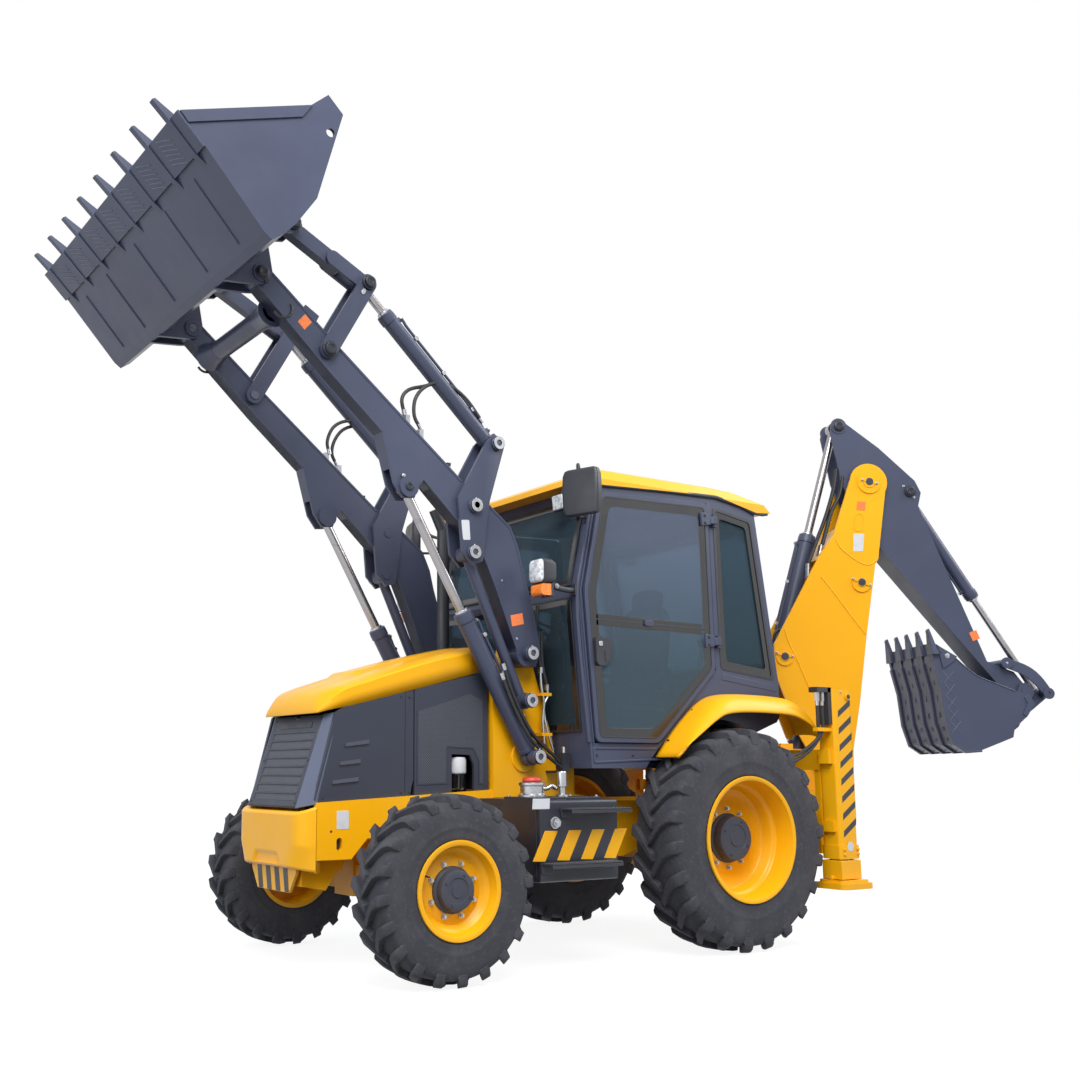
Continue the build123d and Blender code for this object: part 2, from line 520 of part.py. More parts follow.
# lateral place of each section of the fender, and how far it is from the crest to the lip
FENDER_SECTIONS = ((CAB_Y + CLEAR, 0.0), (870.0, 0.0), (930.0, 0.16), (975.0, 0.5), (1000.0, 1.0))
with BuildPart() as rear_fenders:
    for s in (1, -1):
        for inner, outer in zip(FENDER_SECTIONS, FENDER_SECTIONS[1:]):
            for y, share in (inner, outer):
                top = [mid(crest, lip, share) for crest, lip in zip(FENDER_CREST, FENDER_LIP)]
                low = [(x * 0.96 - (8 if x < 0 else -8), z - FENDER_T) for x, z in reversed(top)]
                with BuildSketch(side(s * y)):
                    with BuildLine():
                        Polyline(*top, *low, close=True)
                    make_face()
            loft(ruled=True)
write(rear_fenders, "rear_fenders")

TANK_FRONT, TANK_OUT = WHEELBASE - FRONT_TYRE_R - 74, 1030.0    # clear of the steered front wheel
with BuildPart() as side_tanks:
    for s in (1, -1):
        with BuildSketch(Plane(origin=(REAR_AXLE_X + 1060, 0, 0), x_dir=(0, 1, 0), z_dir=(1, 0, 0))) as section:
            with BuildLine():
                Polyline(*[(s * y, z) for y, z in (
                    (TOWER_OUT + CLEAR, 490), (TANK_OUT - 26, 490), (TANK_OUT - 8, 498), (TANK_OUT, 516),
                    (TANK_OUT, 902), (TANK_OUT - 8, 920), (TANK_OUT - 26, 928), (TOWER_OUT + CLEAR, 928))],
                         close=True)
            make_face()
        extrude(section.sketch, amount=TANK_FRONT - 1060)
        block(1047, TANK_FRONT - 121, s * TANK_OUT, s * (TANK_OUT + 100), 850, 880)
        block(1100, TANK_FRONT - 6, s * TANK_OUT, s * (TANK_OUT + 100), 560, 590)
write(side_tanks, "side_tanks")

MIRROR, MIRROR_TURN = (1206.0, 950.0), 18.6
with BuildPart() as mirrors_and_lamps:
    for s in (1, -1):
        # mirror on its arm from the cab's front post; lamp on a bracket
        block(984.5, 1160, s * 700, s * 745, 2700, 2720)
        block(1120, 1160, s * 700, s * 930, 2700, 2720)
        block(1120, MIRROR[0], s * 900, s * 930, 2700, 2720)
        with BuildSketch(Plane.XY.offset(2565)) as mirror:
            with Locations(Location((REAR_AXLE_X + MIRROR[0], s * MIRROR[1], 0), (0, 0, s * MIRROR_TURN))):
                RectangleRounded(60, 250, 20)
        extrude(mirror.sketch, amount=270)
        block(1105 + CLEAR, 1330, s * 735, s * 768, 2126, 2150)
        block(1300, 1330, s * 735, s * 768, 2126, 2190)
        block(1290, 1420, s * 690, s * 830, 2165, 2310)
        block(1320, 1408, s * 705, s * 815, 2088, 2166)
write(mirrors_and_lamps, "mirrors_and_lamps")

for name, s in (("left", 1), ("right", -1)):
    with BuildPart() as leg:
        block(LEG_X - SLEEVE_X / 2 + 26, LEG_X + SLEEVE_X / 2 - 26, s * (LEG_Y - SLEEVE_Y / 2 + 26),
              s * (LEG_Y + SLEEVE_Y / 2 - 26), 400, 1500)
        # guide pad at its top, in sliding contact with the sleeve
        block(LEG_X - SLEEVE_X / 2 + 20 + CLEAR, LEG_X + SLEEVE_X / 2 - 20 - CLEAR,
              s * (LEG_Y - SLEEVE_Y / 2 + 20 + CLEAR), s * (LEG_Y + SLEEVE_Y / 2 - 20 - CLEAR), 1380, 1500)
        column(LEG_X - 15, s * LEG_Y, 290, 260, 345, 382, radius=50.0)
        column(LEG_X - 15, s * LEG_Y, 250, 220, 382, 400, radius=40.0)
    write(leg, f"stabilizer_leg_{name}")

# ---------------------------------------------------------------- loader arms
ARM_TOP = [(1370, 1712), (1257, 1700), (1222, 1798), (1253, 1966), (1301, 2134), (1349, 2291), (1378, 2410),
           (1435, 2532), (1534, 2608), (1610, 2666), (1708, 2738), (1784, 2772), (2620, 3441), (3051, 3800)]
ARM_LOW = [(3140, 3800), (3120, 3690), (2667, 3274), (2330, 2985), (2250, 2700), (2190, 2620), (2110, 2630),
           (2085, 2700), (2050, 2740), (1857, 2560), (1675, 2400), (1616, 2297), (1545, 2144), (1474, 1971),
           (1403, 1798)]
LINK_Y = ARM_T / 2 + GAP + PLATE_T / 2      # offset of link plates from the arm's middle
LINK_PIN_W = 2 * LINK_Y + PLATE_T + 12
with BuildPart() as loader_arms:
    for s in (1, -1):
        plate(side(s * ARM_Y), ARM_T, ARM_TOP + ARM_LOW)
        disc(side(s * ARM_Y), ARM_PIVOT, 78, ARM_T)
        disc(side(s * ARM_Y), ARM_PIVOT, PIN_R + CLEAR, ARM_T + 10, mode=Mode.SUBTRACT)
        disc(side(s * ARM_Y), BUCKET_PIN, 60, ARM_T)
        disc(side(s * ARM_Y), BUCKET_PIN, PIN_R + CLEAR, ARM_T + 10, mode=Mode.SUBTRACT)
        disc(side(s * ARM_Y), TIP_PIN, PIN_R + CLEAR, ARM_T + 10, mode=Mode.SUBTRACT)
        # fork for the lift cylinder's eye
        disc(side(s * ARM_Y), LIFT_EYE, 150, EYE_W + 2 * GAP, mode=Mode.SUBTRACT)
        # lever pivot pin, flush with the links on the hood's side
        disc(side(s * (ARM_Y + (PIN_OUT - ARM_Y - LINK_PIN_W / 2) / 2)), LEVER_PIVOT, PIN_R,
             PIN_OUT - ARM_Y + LINK_PIN_W / 2)
        for y in (-1, 1):
            disc(side(s * ARM_Y + y * (EYE_W / 2 + GAP + 17)), LIFT_EYE, 62, 30)
    disc(side(0), TORQUE_TUBE, 60, 2 * (ARM_Y - ARM_T / 2) + 2)
write(loader_arms, "loader_arms")

with BuildPart() as levers:
    for s in (1, -1):
        for y in (-LINK_Y, LINK_Y):
            plate(side(s * ARM_Y + y), PLATE_T, [
                (LEVER_TOP[0] - 62, LEVER_TOP[1] + 10), (LEVER_TOP[0] + 20, LEVER_TOP[1] + 62),
                (LEVER_TOP[0] + 70, LEVER_TOP[1] + 10), (1830, 2660), (1800, 2345), (1726, 2270),
                (1655, 2300), (1605, 2660)])
            for pin in (LEVER_PIVOT, LEVER_TOP):
                disc(side(s * ARM_Y + y), pin, PIN_R + CLEAR, 3 * PLATE_T, mode=Mode.SUBTRACT)
        disc(side(s * ARM_Y), LEVER_LOW, PIN_R, LINK_PIN_W)
write(levers, "levers")

LINK_ROD_R = 32.0
with BuildPart() as levelling_links:
    for s in (1, -1):
        rod(side(s * ARM_Y), TOWER_LINK_PIN, LEVER_LOW, LINK_ROD_R)
        for pin in (TOWER_LINK_PIN, LEVER_LOW):
            disc(side(s * ARM_Y), pin, 48, 80)
            disc(side(s * ARM_Y), pin, PIN_R + CLEAR, 100, mode=Mode.SUBTRACT)
write(levelling_links, "levelling_links")


def cylinder_pair(name, planes, base, eye, barrel_len, piston, barrel_r, rod_r, eye_w=EYE_W, base_w=EYE_W,
                  eye_r=50.0):
    """A cylinder's two pieces on each plane: barrel with its base eye, rod with its end eye.

    piston is how far the rod's inner end stands from the base pin.
    """
    reach = length(base, eye)
    with BuildPart() as barrel:
        for plane in planes:
            rod(plane, mid(base, eye, 40 / reach), mid(base, eye, barrel_len / reach), barrel_r)
            disc(plane, base, eye_r + 2, base_w)
            disc(plane, base, PIN_R + CLEAR, 3 * base_w, mode=Mode.SUBTRACT)
            rod(plane, mid(base, eye, BORE_START / reach), mid(base, eye, (barrel_len + 10) / reach),
                rod_r + CLEAR, mode=Mode.SUBTRACT)
    write(barrel, f"{name}_barrel")
    with BuildPart() as piston_rod:
        for plane in planes:
            rod(plane, mid(base, eye, piston / reach), mid(base, eye, 1 - 40 / reach), rod_r)
            disc(plane, eye, eye_r, eye_w)
            disc(plane, eye, PIN_R + GAP, 3 * eye_w, mode=Mode.SUBTRACT)
    write(piston_rod, f"{name}_rod")


BORE_START = 110.0
arm_planes = [side(ARM_Y), side(-ARM_Y)]
cylinder_pair("lift_cylinder", arm_planes, LIFT_BASE, LIFT_EYE, 957, 855, 52, 28)
cylinder_pair("tilt_cylinder", arm_planes, LEVER_TOP, TIP_TOP, 1010, 560, 46, 25, eye_r=44)

with BuildPart() as bucket_pins:
    for s in (1, -1):
        disc(side(s * ARM_Y), BUCKET_PIN, PIN_R, ARM_T + 2 * GAP + 60)
write(bucket_pins, "bucket_pins")

with BuildPart() as link_pins:
    for s in (1, -1):
        disc(side(s * ARM_Y), TIP_PIN, PIN_R, LINK_PIN_W)
write(link_pins, "link_pins")

with BuildPart() as tilt_base_pins:
    for s in (1, -1):
        disc(side(s * ARM_Y), LEVER_TOP, PIN_R, LINK_PIN_W)
write(tilt_base_pins, "tilt_base_pins")

with BuildPart() as tip_links:
    for s in (1, -1):
        for y in (-LINK_Y, LINK_Y):
            bar(side(s * ARM_Y + y), TIP_PIN, TIP_TOP, 104, PLATE_T)
            disc(side(s * ARM_Y + y), TIP_PIN, PIN_R + CLEAR, 2 * PLATE_T, mode=Mode.SUBTRACT)
            # stub pin: it stops short of the tilt cylinder's eye
            reach = 31 if y > 0 else -31
            disc(side(s * ARM_Y + (reach + y * LINK_PIN_W / 2 / LINK_Y) / 2), TIP_TOP, PIN_R,
                 abs(y * LINK_PIN_W / 2 / LINK_Y - reach))
        disc(side(s * ARM_Y), mid(TIP_PIN, TIP_TOP, 0.74), 22, 2 * LINK_Y)
write(tip_links, "tip_links")

with BuildPart() as bucket_links:
    for s in (1, -1):
        # fork round the tilt cylinder's eye, then a solid bar to the bucket's ears
        for y in (-1, 1):
            bar(side(s * ARM_Y + y * 43), TIP_TOP, mid(TIP_TOP, BUCKET_TOP_PIN, 0.45), 88, 20)
            disc(side(s * ARM_Y + y * 43), TIP_TOP, PIN_R + CLEAR, 60, mode=Mode.SUBTRACT)
        bar(side(s * ARM_Y), mid(TIP_TOP, BUCKET_TOP_PIN, 0.36), BUCKET_TOP_PIN, 88, 70)
        disc(side(s * ARM_Y), BUCKET_TOP_PIN, PIN_R + GAP, 120, mode=Mode.SUBTRACT)
write(bucket_links, "bucket_links")

# ---------------------------------------------------------------- loader bucket
BUCKET_HALF = 1157.0
BUCKET_SIDE = [(3808, 4197), (3116, 4440), (3012, 4533), (2925, 4449), (3067, 3949), (3178, 3787),
               (3251, 3709), (3309, 3668), (3350, 3697), (3672, 4059)]
BUCKET_INNER = [(3900, 4230), (3160, 4600), (3126, 4440), (3080, 4330), (3066, 4225), (3090, 3960),
                (3200, 3800), (3262, 3730), (3305, 3700), (3330, 3712), (3645, 4065), (3785, 4195)]
# the side plates' upper corners stand clear of the back sheet, with an eye in each
BUCKET_BACK = [(2880, 4600), (3130, 4600), (3100, 4447), (3054, 4335), (3040, 4225), (2990, 4200), (2880, 4200)]
LIFT_HOLE, LIFT_HOLE_R, BUCKET_WALL = (2997.0, 4328.0), 24.0, 20.0
with BuildPart() as loader_bucket:
    plate(side(0), 2 * BUCKET_HALF, BUCKET_SIDE)
    for outline in (BUCKET_INNER, BUCKET_BACK):
        plate(side(0), 2 * (BUCKET_HALF - BUCKET_WALL), outline, mode=Mode.SUBTRACT)
    disc(side(0), LIFT_HOLE, LIFT_HOLE_R, 2 * BUCKET_HALF + 10, mode=Mode.SUBTRACT)
    for s in (1, -1):
        # bar along the mouth on each side plate
        plate(side(s * (BUCKET_HALF + 4)), 12, [(3106, 4443), (3804, 4198), (3762, 4150), (3160, 4362)])
    teeth = 8
    for i in range(teeth):
        y = -1054 + i * 2108 / (teeth - 1)
        plate(side(y), 40, [(3914, 4266), (3900, 4275), (3760, 4196), (3600, 3990), (3690, 4050), (3800, 4160)])
    for s in (1, -1):
        for y in (-1, 1):
            plate(side(s * ARM_Y + y * (ARM_T / 2 + GAP + 12)), 24, [
                (3075, 3940), (3040, 3760), (3080, 3690), (3130, 3680), (3320, 3660), (3250, 3720),
                (3180, 3800)])
            plate(side(s * ARM_Y + y * LINK_Y), PLATE_T, [
                (3030, 4150), (2915, 4145), (2865, 4085), (2915, 4030), (3060, 4000)])
            # stub pin: it stops short of the bucket link
            disc(side(s * ARM_Y + y * (41 + LINK_PIN_W / 2) / 2), BUCKET_TOP_PIN, PIN_R, LINK_PIN_W / 2 - 41)
            disc(side(s * ARM_Y + y * (ARM_T / 2 + GAP + 12)), BUCKET_PIN, PIN_R + CLEAR, 40,
                 mode=Mode.SUBTRACT)
write(loader_bucket, "loader_bucket")

# ---------------------------------------------------------------- backhoe
KING_R, POST_R, POST_HALF, BOSS_HALF = 50.0, 130.0, 100.0, 92.0
with BuildPart() as side_shift_carriage:
    # back plate with hooks over and under the frame's rails
    block(-1000, REAR_FACE - CLEAR, SWING_Y - 260, SWING_Y + 260, 470, 1270)
    block(-1000, -880, SWING_Y - 260, SWING_Y + 260, UPPER_RAIL[1] + CLEAR, 1270)
    block(-1000, -880, SWING_Y - 260, SWING_Y + 260, 470, LOWER_RAIL[0] - CLEAR)
    with BuildSketch(Plane.XY.offset(620)):
        with Locations((REAR_AXLE_X + SWING_X, SWING_Y)):
            Circle(POST_R)
        with Locations((REAR_AXLE_X + (SWING_X - 990) / 2, SWING_Y)):
            Rectangle(abs(SWING_X + 990), 2 * BOSS_HALF)
    extrude(amount=240)
    with BuildSketch(Plane.XY.offset(500)):
        with Locations((REAR_AXLE_X + SWING_X, SWING_Y)):
            Circle(KING_R)
    extrude(amount=480)
write(side_shift_carriage, "side_shift_carriage")

with BuildPart() as swing_post:
    # plates over and under the carriage's boss, a spine behind it
    for z0, z1 in ((520, 614), (866, 960)):
        with BuildSketch(Plane(origin=hoe(0).origin + Vector(0, 0, z0), x_dir=hoe(0).x_dir, z_dir=(0, 0, 1))):
            Circle(POST_R)
            with Locations((-145, 0)):
                Rectangle(290, 2 * POST_HALF)
        extrude(amount=z1 - z0)
    plate(hoe(0), 2 * POST_HALF, [(-142, 520), (-142, 960), (-230, 960), (-290, 860), (-290, 600)])
    disc(hoe(0), BOOM_FOOT, 60, 2 * BOOM_HALF + 20)
    # ears of the boom cylinder
    for y in (-1, 1):
        plate(hoe(y * 80), 28, [(-95, 950), (-55, 1080), (5, 1240), (110, 1240), (128, 1150), (95, 950)])
    disc(hoe(0), BOOM_CYL_BASE, PIN_R, 210)
    with BuildSketch(Plane.XY.offset(440)):
        with Locations((REAR_AXLE_X + SWING_X, SWING_Y)):
            Circle(KING_R + CLEAR)
    extrude(amount=600, mode=Mode.SUBTRACT)
write(swing_post, "swing_post")

BOOM_OUTLINE = [(-535, 3345), (-640, 3290), (-665, 3190), (-574, 2625), (-550, 2586), (-455, 2057),
                (-382, 1584), (-315, 1243), (-290, 760), (-200, 690), (-124, 735), (-102, 880), (-60, 1080),
                (73, 1331), (229, 1775), (231, 1991), (-116, 2615), (-247, 2798), (-391, 3208), (-430, 3300)]
with BuildPart() as boom:
    for y in (-1, 1):
        plate(hoe(y * (BOOM_HALF - 10)), 20, BOOM_OUTLINE)
    disc(hoe(0), BOOM_TIP, 45, 2 * BOOM_HALF + 30)
    disc(hoe(0), DIPPER_CYL_BASE, PIN_R, 2 * BOOM_HALF + 30)
    for y in (-1, 1):
        disc(hoe(y * 105), BOOM_CYL_EYE, 60, 110)
        disc(hoe(y * (BOOM_HALF - 10)), BOOM_FOOT, 60 + CLEAR, 60, mode=Mode.SUBTRACT)
    # webs between the plates, short of the dipper's sweep
    plate(hoe(0), 2 * BOOM_HALF - 30, [(-118, 2618), (-247, 2798), (-268, 2850), (-287, 2845), (-265, 2790),
                                       (-135, 2607)])
    plate(hoe(0), 2 * BOOM_HALF - 30, [(-500, 2310), (-455, 2057), (-435, 2060), (-480, 2313)])
    # bosses round the pins, welded on the plates
    for centre, radius in ((BOOM_CYL_EYE, 72), (DIPPER_CYL_BASE, 66), (BOOM_TIP, 88)):
        for y in (-1, 1):
            disc(hoe(y * (BOOM_HALF + 4)), centre, radius, 12)
            disc(hoe(y * (BOOM_HALF + 8)), centre, 34, 14)
write(boom, "boom")

hoe_plane = [hoe(0)]
cylinder_pair("boom_cylinder", hoe_plane, BOOM_CYL_BASE, BOOM_CYL_EYE, 780, 180, 60, 32, eye_w=70, base_w=80)
cylinder_pair("dipper_cylinder", hoe_plane, DIPPER_CYL_BASE, DIPPER_CYL_EYE, 960, 870, 57, 30, eye_w=70,
              base_w=120)
cylinder_pair("hoe_bucket_cylinder", hoe_plane, HOE_CYL_BASE, HOE_END_PIN, 923, 600, 45, 24, eye_w=60,
              base_w=60)

HINGE_R = 36.0            # pin the hoe's bucket turns on
EAR_Y = DIPPER_HALF + GAP + 10      # ears of the hoe's bucket, outside the dipper
LEVER_LINK_Y = EAR_Y + 10 + GAP + 8
with BuildPart() as dipper:
    for y in (-1, 1):
        plate(hoe(y * (DIPPER_HALF - 8)), 16, [
            (-282, 3600), (-300, 3680), (-340, 3700), (-380, 3684), (-645, 3479), (-907, 3230), (-948, 3139),
            (-921, 3033), (-1364, 1877), (-1560, 1800), (-1680, 1640), (-1590, 1600), (-1429, 1714),
            (-603, 2730), (-400, 3100), (-344, 3237)])
    plate(hoe(0), 2 * DIPPER_HALF - 20, [(-603, 2730), (-1429, 1714), (-1445, 1730), (-620, 2745)])
    plate(hoe(0), 2 * DIPPER_HALF - 20, [(-1024, 2765), (-1364, 1877), (-1348, 1871), (-1008, 2759)])
    disc(hoe(0), HOE_CYL_BASE, PIN_R, 2 * DIPPER_HALF + 20)
    disc(hoe(0), HOE_HINGE, HINGE_R, 2 * EAR_Y + 24)
    disc(hoe(0), HOE_LINK_PIN, 30, 2 * LEVER_LINK_Y + 26)
    for y in (-1, 1):
        disc(hoe(y * 75), BOOM_TIP, 90, 60)
        disc(hoe(y * 75), BOOM_TIP, 45 + CLEAR, 120, mode=Mode.SUBTRACT)
write(dipper, "dipper")

with BuildPart() as hoe_lever_links:
    for y in (-1, 1):
        bar(hoe(y * LEVER_LINK_Y), HOE_LINK_PIN, HOE_END_PIN, 74, 16)
        disc(hoe(y * LEVER_LINK_Y), HOE_LINK_PIN, 30 + CLEAR, 40, mode=Mode.SUBTRACT)
        # stub pin: it stops short of the cylinder's eye
        disc(hoe(y * (40 + LEVER_LINK_Y + 14) / 2), HOE_END_PIN, 28, LEVER_LINK_Y + 14 - 40)
write(hoe_lever_links, "hoe_lever_links")

with BuildPart() as hoe_bucket_link:
    for y in (-1, 1):
        bar(hoe(y * 60), HOE_END_PIN, HOE_BUCKET_PIN, 78, 30)
        disc(hoe(y * 60), HOE_END_PIN, 28 + CLEAR, 60, mode=Mode.SUBTRACT)
        disc(hoe(y * 60), HOE_BUCKET_PIN, 22, 60, mode=Mode.SUBTRACT)
    block_mid = mid(HOE_END_PIN, HOE_BUCKET_PIN)
    disc(hoe(0), block_mid, 25, 120)
write(hoe_bucket_link, "hoe_bucket_link")

HOE_BUCKET_SIDE = [(-841, 1984), (-1001, 1875), (-1141, 1758), (-1294, 1695), (-1422, 1645), (-1515, 1618),
                   (-1552, 1555), (-1490, 1461), (-1396, 1380), (-1382, 1317), (-1292, 1282), (-1150, 1228),
                   (-1039, 1219), (-960, 1272), (-915, 1424), (-894, 1657), (-850, 1850)]
with BuildPart() as hoe_bucket:
    plate(hoe(0), 2 * HOE_BUCKET_HALF, HOE_BUCKET_SIDE)
    plate(hoe(0), 2 * (HOE_BUCKET_HALF - 16), [
        (-820, 2060), (-1001, 1950), (-1141, 1850), (-1400, 1750), (-1422, 1640), (-1400, 1500), (-1370, 1400),
        (-1360, 1335), (-1285, 1305), (-1150, 1250), (-1045, 1242), (-980, 1285), (-937, 1428), (-916, 1657),
        (-870, 1850), (-858, 1984)], mode=Mode.SUBTRACT)
    # recess in the back that the link's end moves in
    plate(hoe(0), 2 * (75 + 12), [(-1600, 1640), (-1470, 1600), (-1432, 1520), (-1394, 1400), (-1390, 1330),
                                  (-1600, 1330)], mode=Mode.SUBTRACT)
    # ears on the dipper's pin, with stubs for the link
    for y in (-1, 1):
        plate(hoe(y * EAR_Y), 20, [(-1690, 1650), (-1670, 1700), (-1630, 1722), (-1585, 1705), (-1555, 1640),
                                   (-1480, 1560), (-1400, 1440), (-1440, 1385), (-1500, 1362), (-1552, 1400),
                                   (-1660, 1598)])
        disc(hoe(y * EAR_Y), HOE_HINGE, HINGE_R + CLEAR, 60, mode=Mode.SUBTRACT)
        disc(hoe(y * (EAR_Y + 2)), HOE_BUCKET_PIN, 30, 36)
    for i in range(5):
        y = -HOE_BUCKET_HALF + 15 + i * (2 * HOE_BUCKET_HALF - 30) / 4
        plate(hoe(y), 30, [(-820, 2084), (-841, 1960), (-894, 1657), (-880, 1657), (-835, 1900), (-808, 2070)])
write(hoe_bucket, "hoe_bucket")
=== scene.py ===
"""Backhoe loader: its looks, and the detail that the solids leave out, in the CAD part's own frame."""
import json
import math
from math import cos, pi, radians, sin

import bmesh
import bpy
from mathutils import Matrix, Vector


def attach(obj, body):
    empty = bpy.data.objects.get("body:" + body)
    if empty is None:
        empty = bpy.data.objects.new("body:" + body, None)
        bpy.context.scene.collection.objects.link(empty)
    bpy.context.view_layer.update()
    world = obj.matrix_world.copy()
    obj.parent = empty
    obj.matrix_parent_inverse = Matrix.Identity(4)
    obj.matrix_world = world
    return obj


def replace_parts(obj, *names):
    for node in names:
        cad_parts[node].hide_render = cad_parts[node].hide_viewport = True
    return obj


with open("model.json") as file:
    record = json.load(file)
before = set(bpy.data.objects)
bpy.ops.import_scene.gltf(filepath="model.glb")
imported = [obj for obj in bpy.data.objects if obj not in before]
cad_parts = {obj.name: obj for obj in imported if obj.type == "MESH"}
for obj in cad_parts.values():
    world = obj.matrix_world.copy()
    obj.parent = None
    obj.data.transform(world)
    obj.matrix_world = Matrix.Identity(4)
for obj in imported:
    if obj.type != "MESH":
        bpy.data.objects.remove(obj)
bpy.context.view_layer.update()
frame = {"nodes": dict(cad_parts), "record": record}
D = bpy.data
COLL = bpy.context.scene.collection

# ---------------------------------------------------------------- places, in metres
MID = Vector((0.00928, -0.09188, 0.0))                    # the machine's middle, from the box's middle
REAR_X, FRONT_X = -0.440 + MID.x, 1.724 + MID.x           # axles
SLEW = radians(30)                                        # how far the backhoe stands swung
KING = MID + Vector((-1.840, 0.250, 0.0))                 # its swing pin
HOE_X = Vector((cos(SLEW), -sin(SLEW), 0.0))
HOE_Y = Vector((sin(SLEW), cos(SLEW), 0.0))
UP, BACK = Vector((0, 0, 1)), Vector((-1, 0, 0))


def W(x, y, z):
    """A place given from under the rear axle, in mm: x ahead, y to the left and z up."""
    return Vector((REAR_X + x / 1000, MID.y + y / 1000, z / 1000))


def H(x, y, z):
    """A place in the backhoe's own upright plane, y to its left, in mm."""
    return KING + HOE_X * (x / 1000) + HOE_Y * (y / 1000) + Vector((0, 0, z / 1000))


def across(x, y, z):
    """A place for plates that stand across the machine: their outline runs along y."""
    return W(y, x, z)


def on_side(place, hand):
    """The place itself for the left (1), and mirrored for the right (-1)."""
    return lambda x, y, z: place(x, hand * y, z)


SIDES = tuple((side, hand, on_side(W, hand), Vector((0, hand, 0)))
              for side, hand in (("left", 1), ("right", -1)))
HOE_SIDES = tuple((on_side(H, hand), HOE_Y * hand) for hand in (1, -1))

# ---------------------------------------------------------------- camera
scene = bpy.context.scene
cam_data = D.cameras.new("camera")
cam = D.objects.new("camera", cam_data)
COLL.objects.link(cam)
cam.location = MID + Vector((5.2345, 6.3678, 1.0877))
yaw, pitch = radians(237.277), radians(9.051)
look = Vector((cos(yaw) * cos(pitch), sin(yaw) * cos(pitch), sin(pitch)))
cam.rotation_euler = look.to_track_quat("-Z", "Y").to_euler()
cam_data.sensor_width, cam_data.lens = 36.0, 40.61
cam_data.shift_x, cam_data.shift_y = 0.0924, 0.0335
cam_data.clip_end = 200
scene.camera = cam
scene.view_settings.view_transform = "Standard"


# ---------------------------------------------------------------- materials
def lin(c):
    """An sRGB colour of 0 to 255 as the linear one that shaders take."""
    shares = [v / 255 for v in c]
    return tuple(v / 12.92 if v <= 0.04045 else ((v + 0.055) / 1.055) ** 2.4 for v in shares) + (1,)


class Mat:
    """A node material: a Principled shader and short calls that add to it."""

    def __init__(self, name, colour, rough=0.5, metal=0.0, coat=0.0):
        self.m = D.materials.new(name)
        self.m.use_nodes = True
        self.n, self.l = self.m.node_tree.nodes, self.m.node_tree.links
        self.bsdf = self.n["Principled BSDF"]
        self.feed(self.bsdf, {"Base Color": lin(colour), "Roughness": rough, "Metallic": metal,
                              "Coat Weight": coat, "Coat Roughness": 0.15})
        self.place = self.n.new("ShaderNodeTexCoord").outputs["Object"]
        self.colour, self.normal = lin(colour), None

    def feed(self, node, values):
        """Links sockets to what is a socket, and sets them to what is a value."""
        for name, value in values.items():
            if isinstance(value, bpy.types.NodeSocket):
                self.l.new(value, node.inputs[name])
            else:
                node.inputs[name].default_value = value
        return node

    def node(self, kind, values, **setting):
        node = self.n.new("ShaderNode" + kind)
        for name, value in setting.items():
            setattr(node, name, value)
        return self.feed(node, values)

    def noise(self, scale, detail=4.0, stretch=None):
        place = self.place
        if stretch:
            place = self.node("Mapping", {"Scale": stretch, "Vector": place}).outputs["Vector"]
        return self.node("TexNoise", {"Scale": scale, "Detail": detail, "Roughness": 0.55,
                                      "Vector": place}).outputs["Fac"]

    def ramp(self, src, p0, p1, v0=0.0, v1=1.0):
        return self.node("MapRange", {"From Min": p0, "From Max": p1, "To Min": v0, "To Max": v1,
                                      "Value": src}).outputs["Result"]

    def math(self, op, a, b):
        return self.node("Math", {0: a, 1: b}, operation=op).outputs[0]

    def mix(self, fac, colour, share=1.0):
        """Lays a colour over what is there, where fac says."""
        if share != 1.0:
            fac = self.math("MULTIPLY", fac, share)
        node = self.node("Mix", {"Factor": fac, "A": self.colour, "B": lin(colour)}, data_type="RGBA")
        self.colour = node.outputs["Result"]
        self.feed(self.bsdf, {"Base Color": self.colour})

    def roughness(self, src, low, high):
        self.feed(self.bsdf, {"Roughness": self.ramp(src, 0.3, 0.7, low, high)})

    def bump(self, src, strength, distance=0.001):
        node = self.node("Bump", {"Strength": strength, "Distance": distance, "Height": src})
        if self.normal is not None:
            self.feed(node, {"Normal": self.normal})
        self.normal = node.outputs["Normal"]
        self.feed(self.bsdf, {"Normal": self.normal})

    def height(self, low, high):
        """1 at the lower height and 0 at the upper one, in metres: for dust that settles low down, and for
        the glass's painted sky reflection.
        """
        return self.ramp(self.node("SeparateXYZ", {0: self.place}).outputs["Z"], low, high, 1.0, 0.0)


def paint(name, colour, light, dust, rough=(0.28, 0.42), coat=0.06):
    """Enamel: slow colour drift, a fine orange peel, light dust low down and small scuffs."""
    m = Mat(name, colour, 0.35, 0.0, coat)
    m.feed(m.bsdf, {"Specular IOR Level": 0.3})
    m.mix(m.ramp(m.noise(1.3, 3), 0.35, 0.7), light, 0.45)
    m.mix(m.math("MULTIPLY", m.height(0.2, 1.3), m.ramp(m.noise(5.0, 6), 0.42, 0.75)), dust, 0.18)
    m.mix(m.ramp(m.noise(38.0, 6, (1, 1, 0.35)), 0.68, 0.76), dust, 0.10)
    m.roughness(m.noise(7.0, 5), *rough)
    m.bump(m.noise(260.0, 2), 0.02, 0.0006)
    m.bump(m.noise(2.2, 2), 0.10, 0.004)
    return m


def mottled(name, colour, rough, over, spots, share, metal=0.0, coat=0.0, sheen=None, grain=None):
    """Patches of a second colour: spots is their noise and ramp; sheen varies roughness, grain the skin."""
    m = Mat(name, colour, rough, metal, coat)
    m.mix(m.ramp(m.noise(*spots[:-2]), *spots[-2:]), over, share)
    if sheen:
        m.roughness(m.noise(*sheen[:-2]), *sheen[-2:])
    if grain:
        m.bump(m.noise(*grain[:-2]), *grain[-2:])
    return m


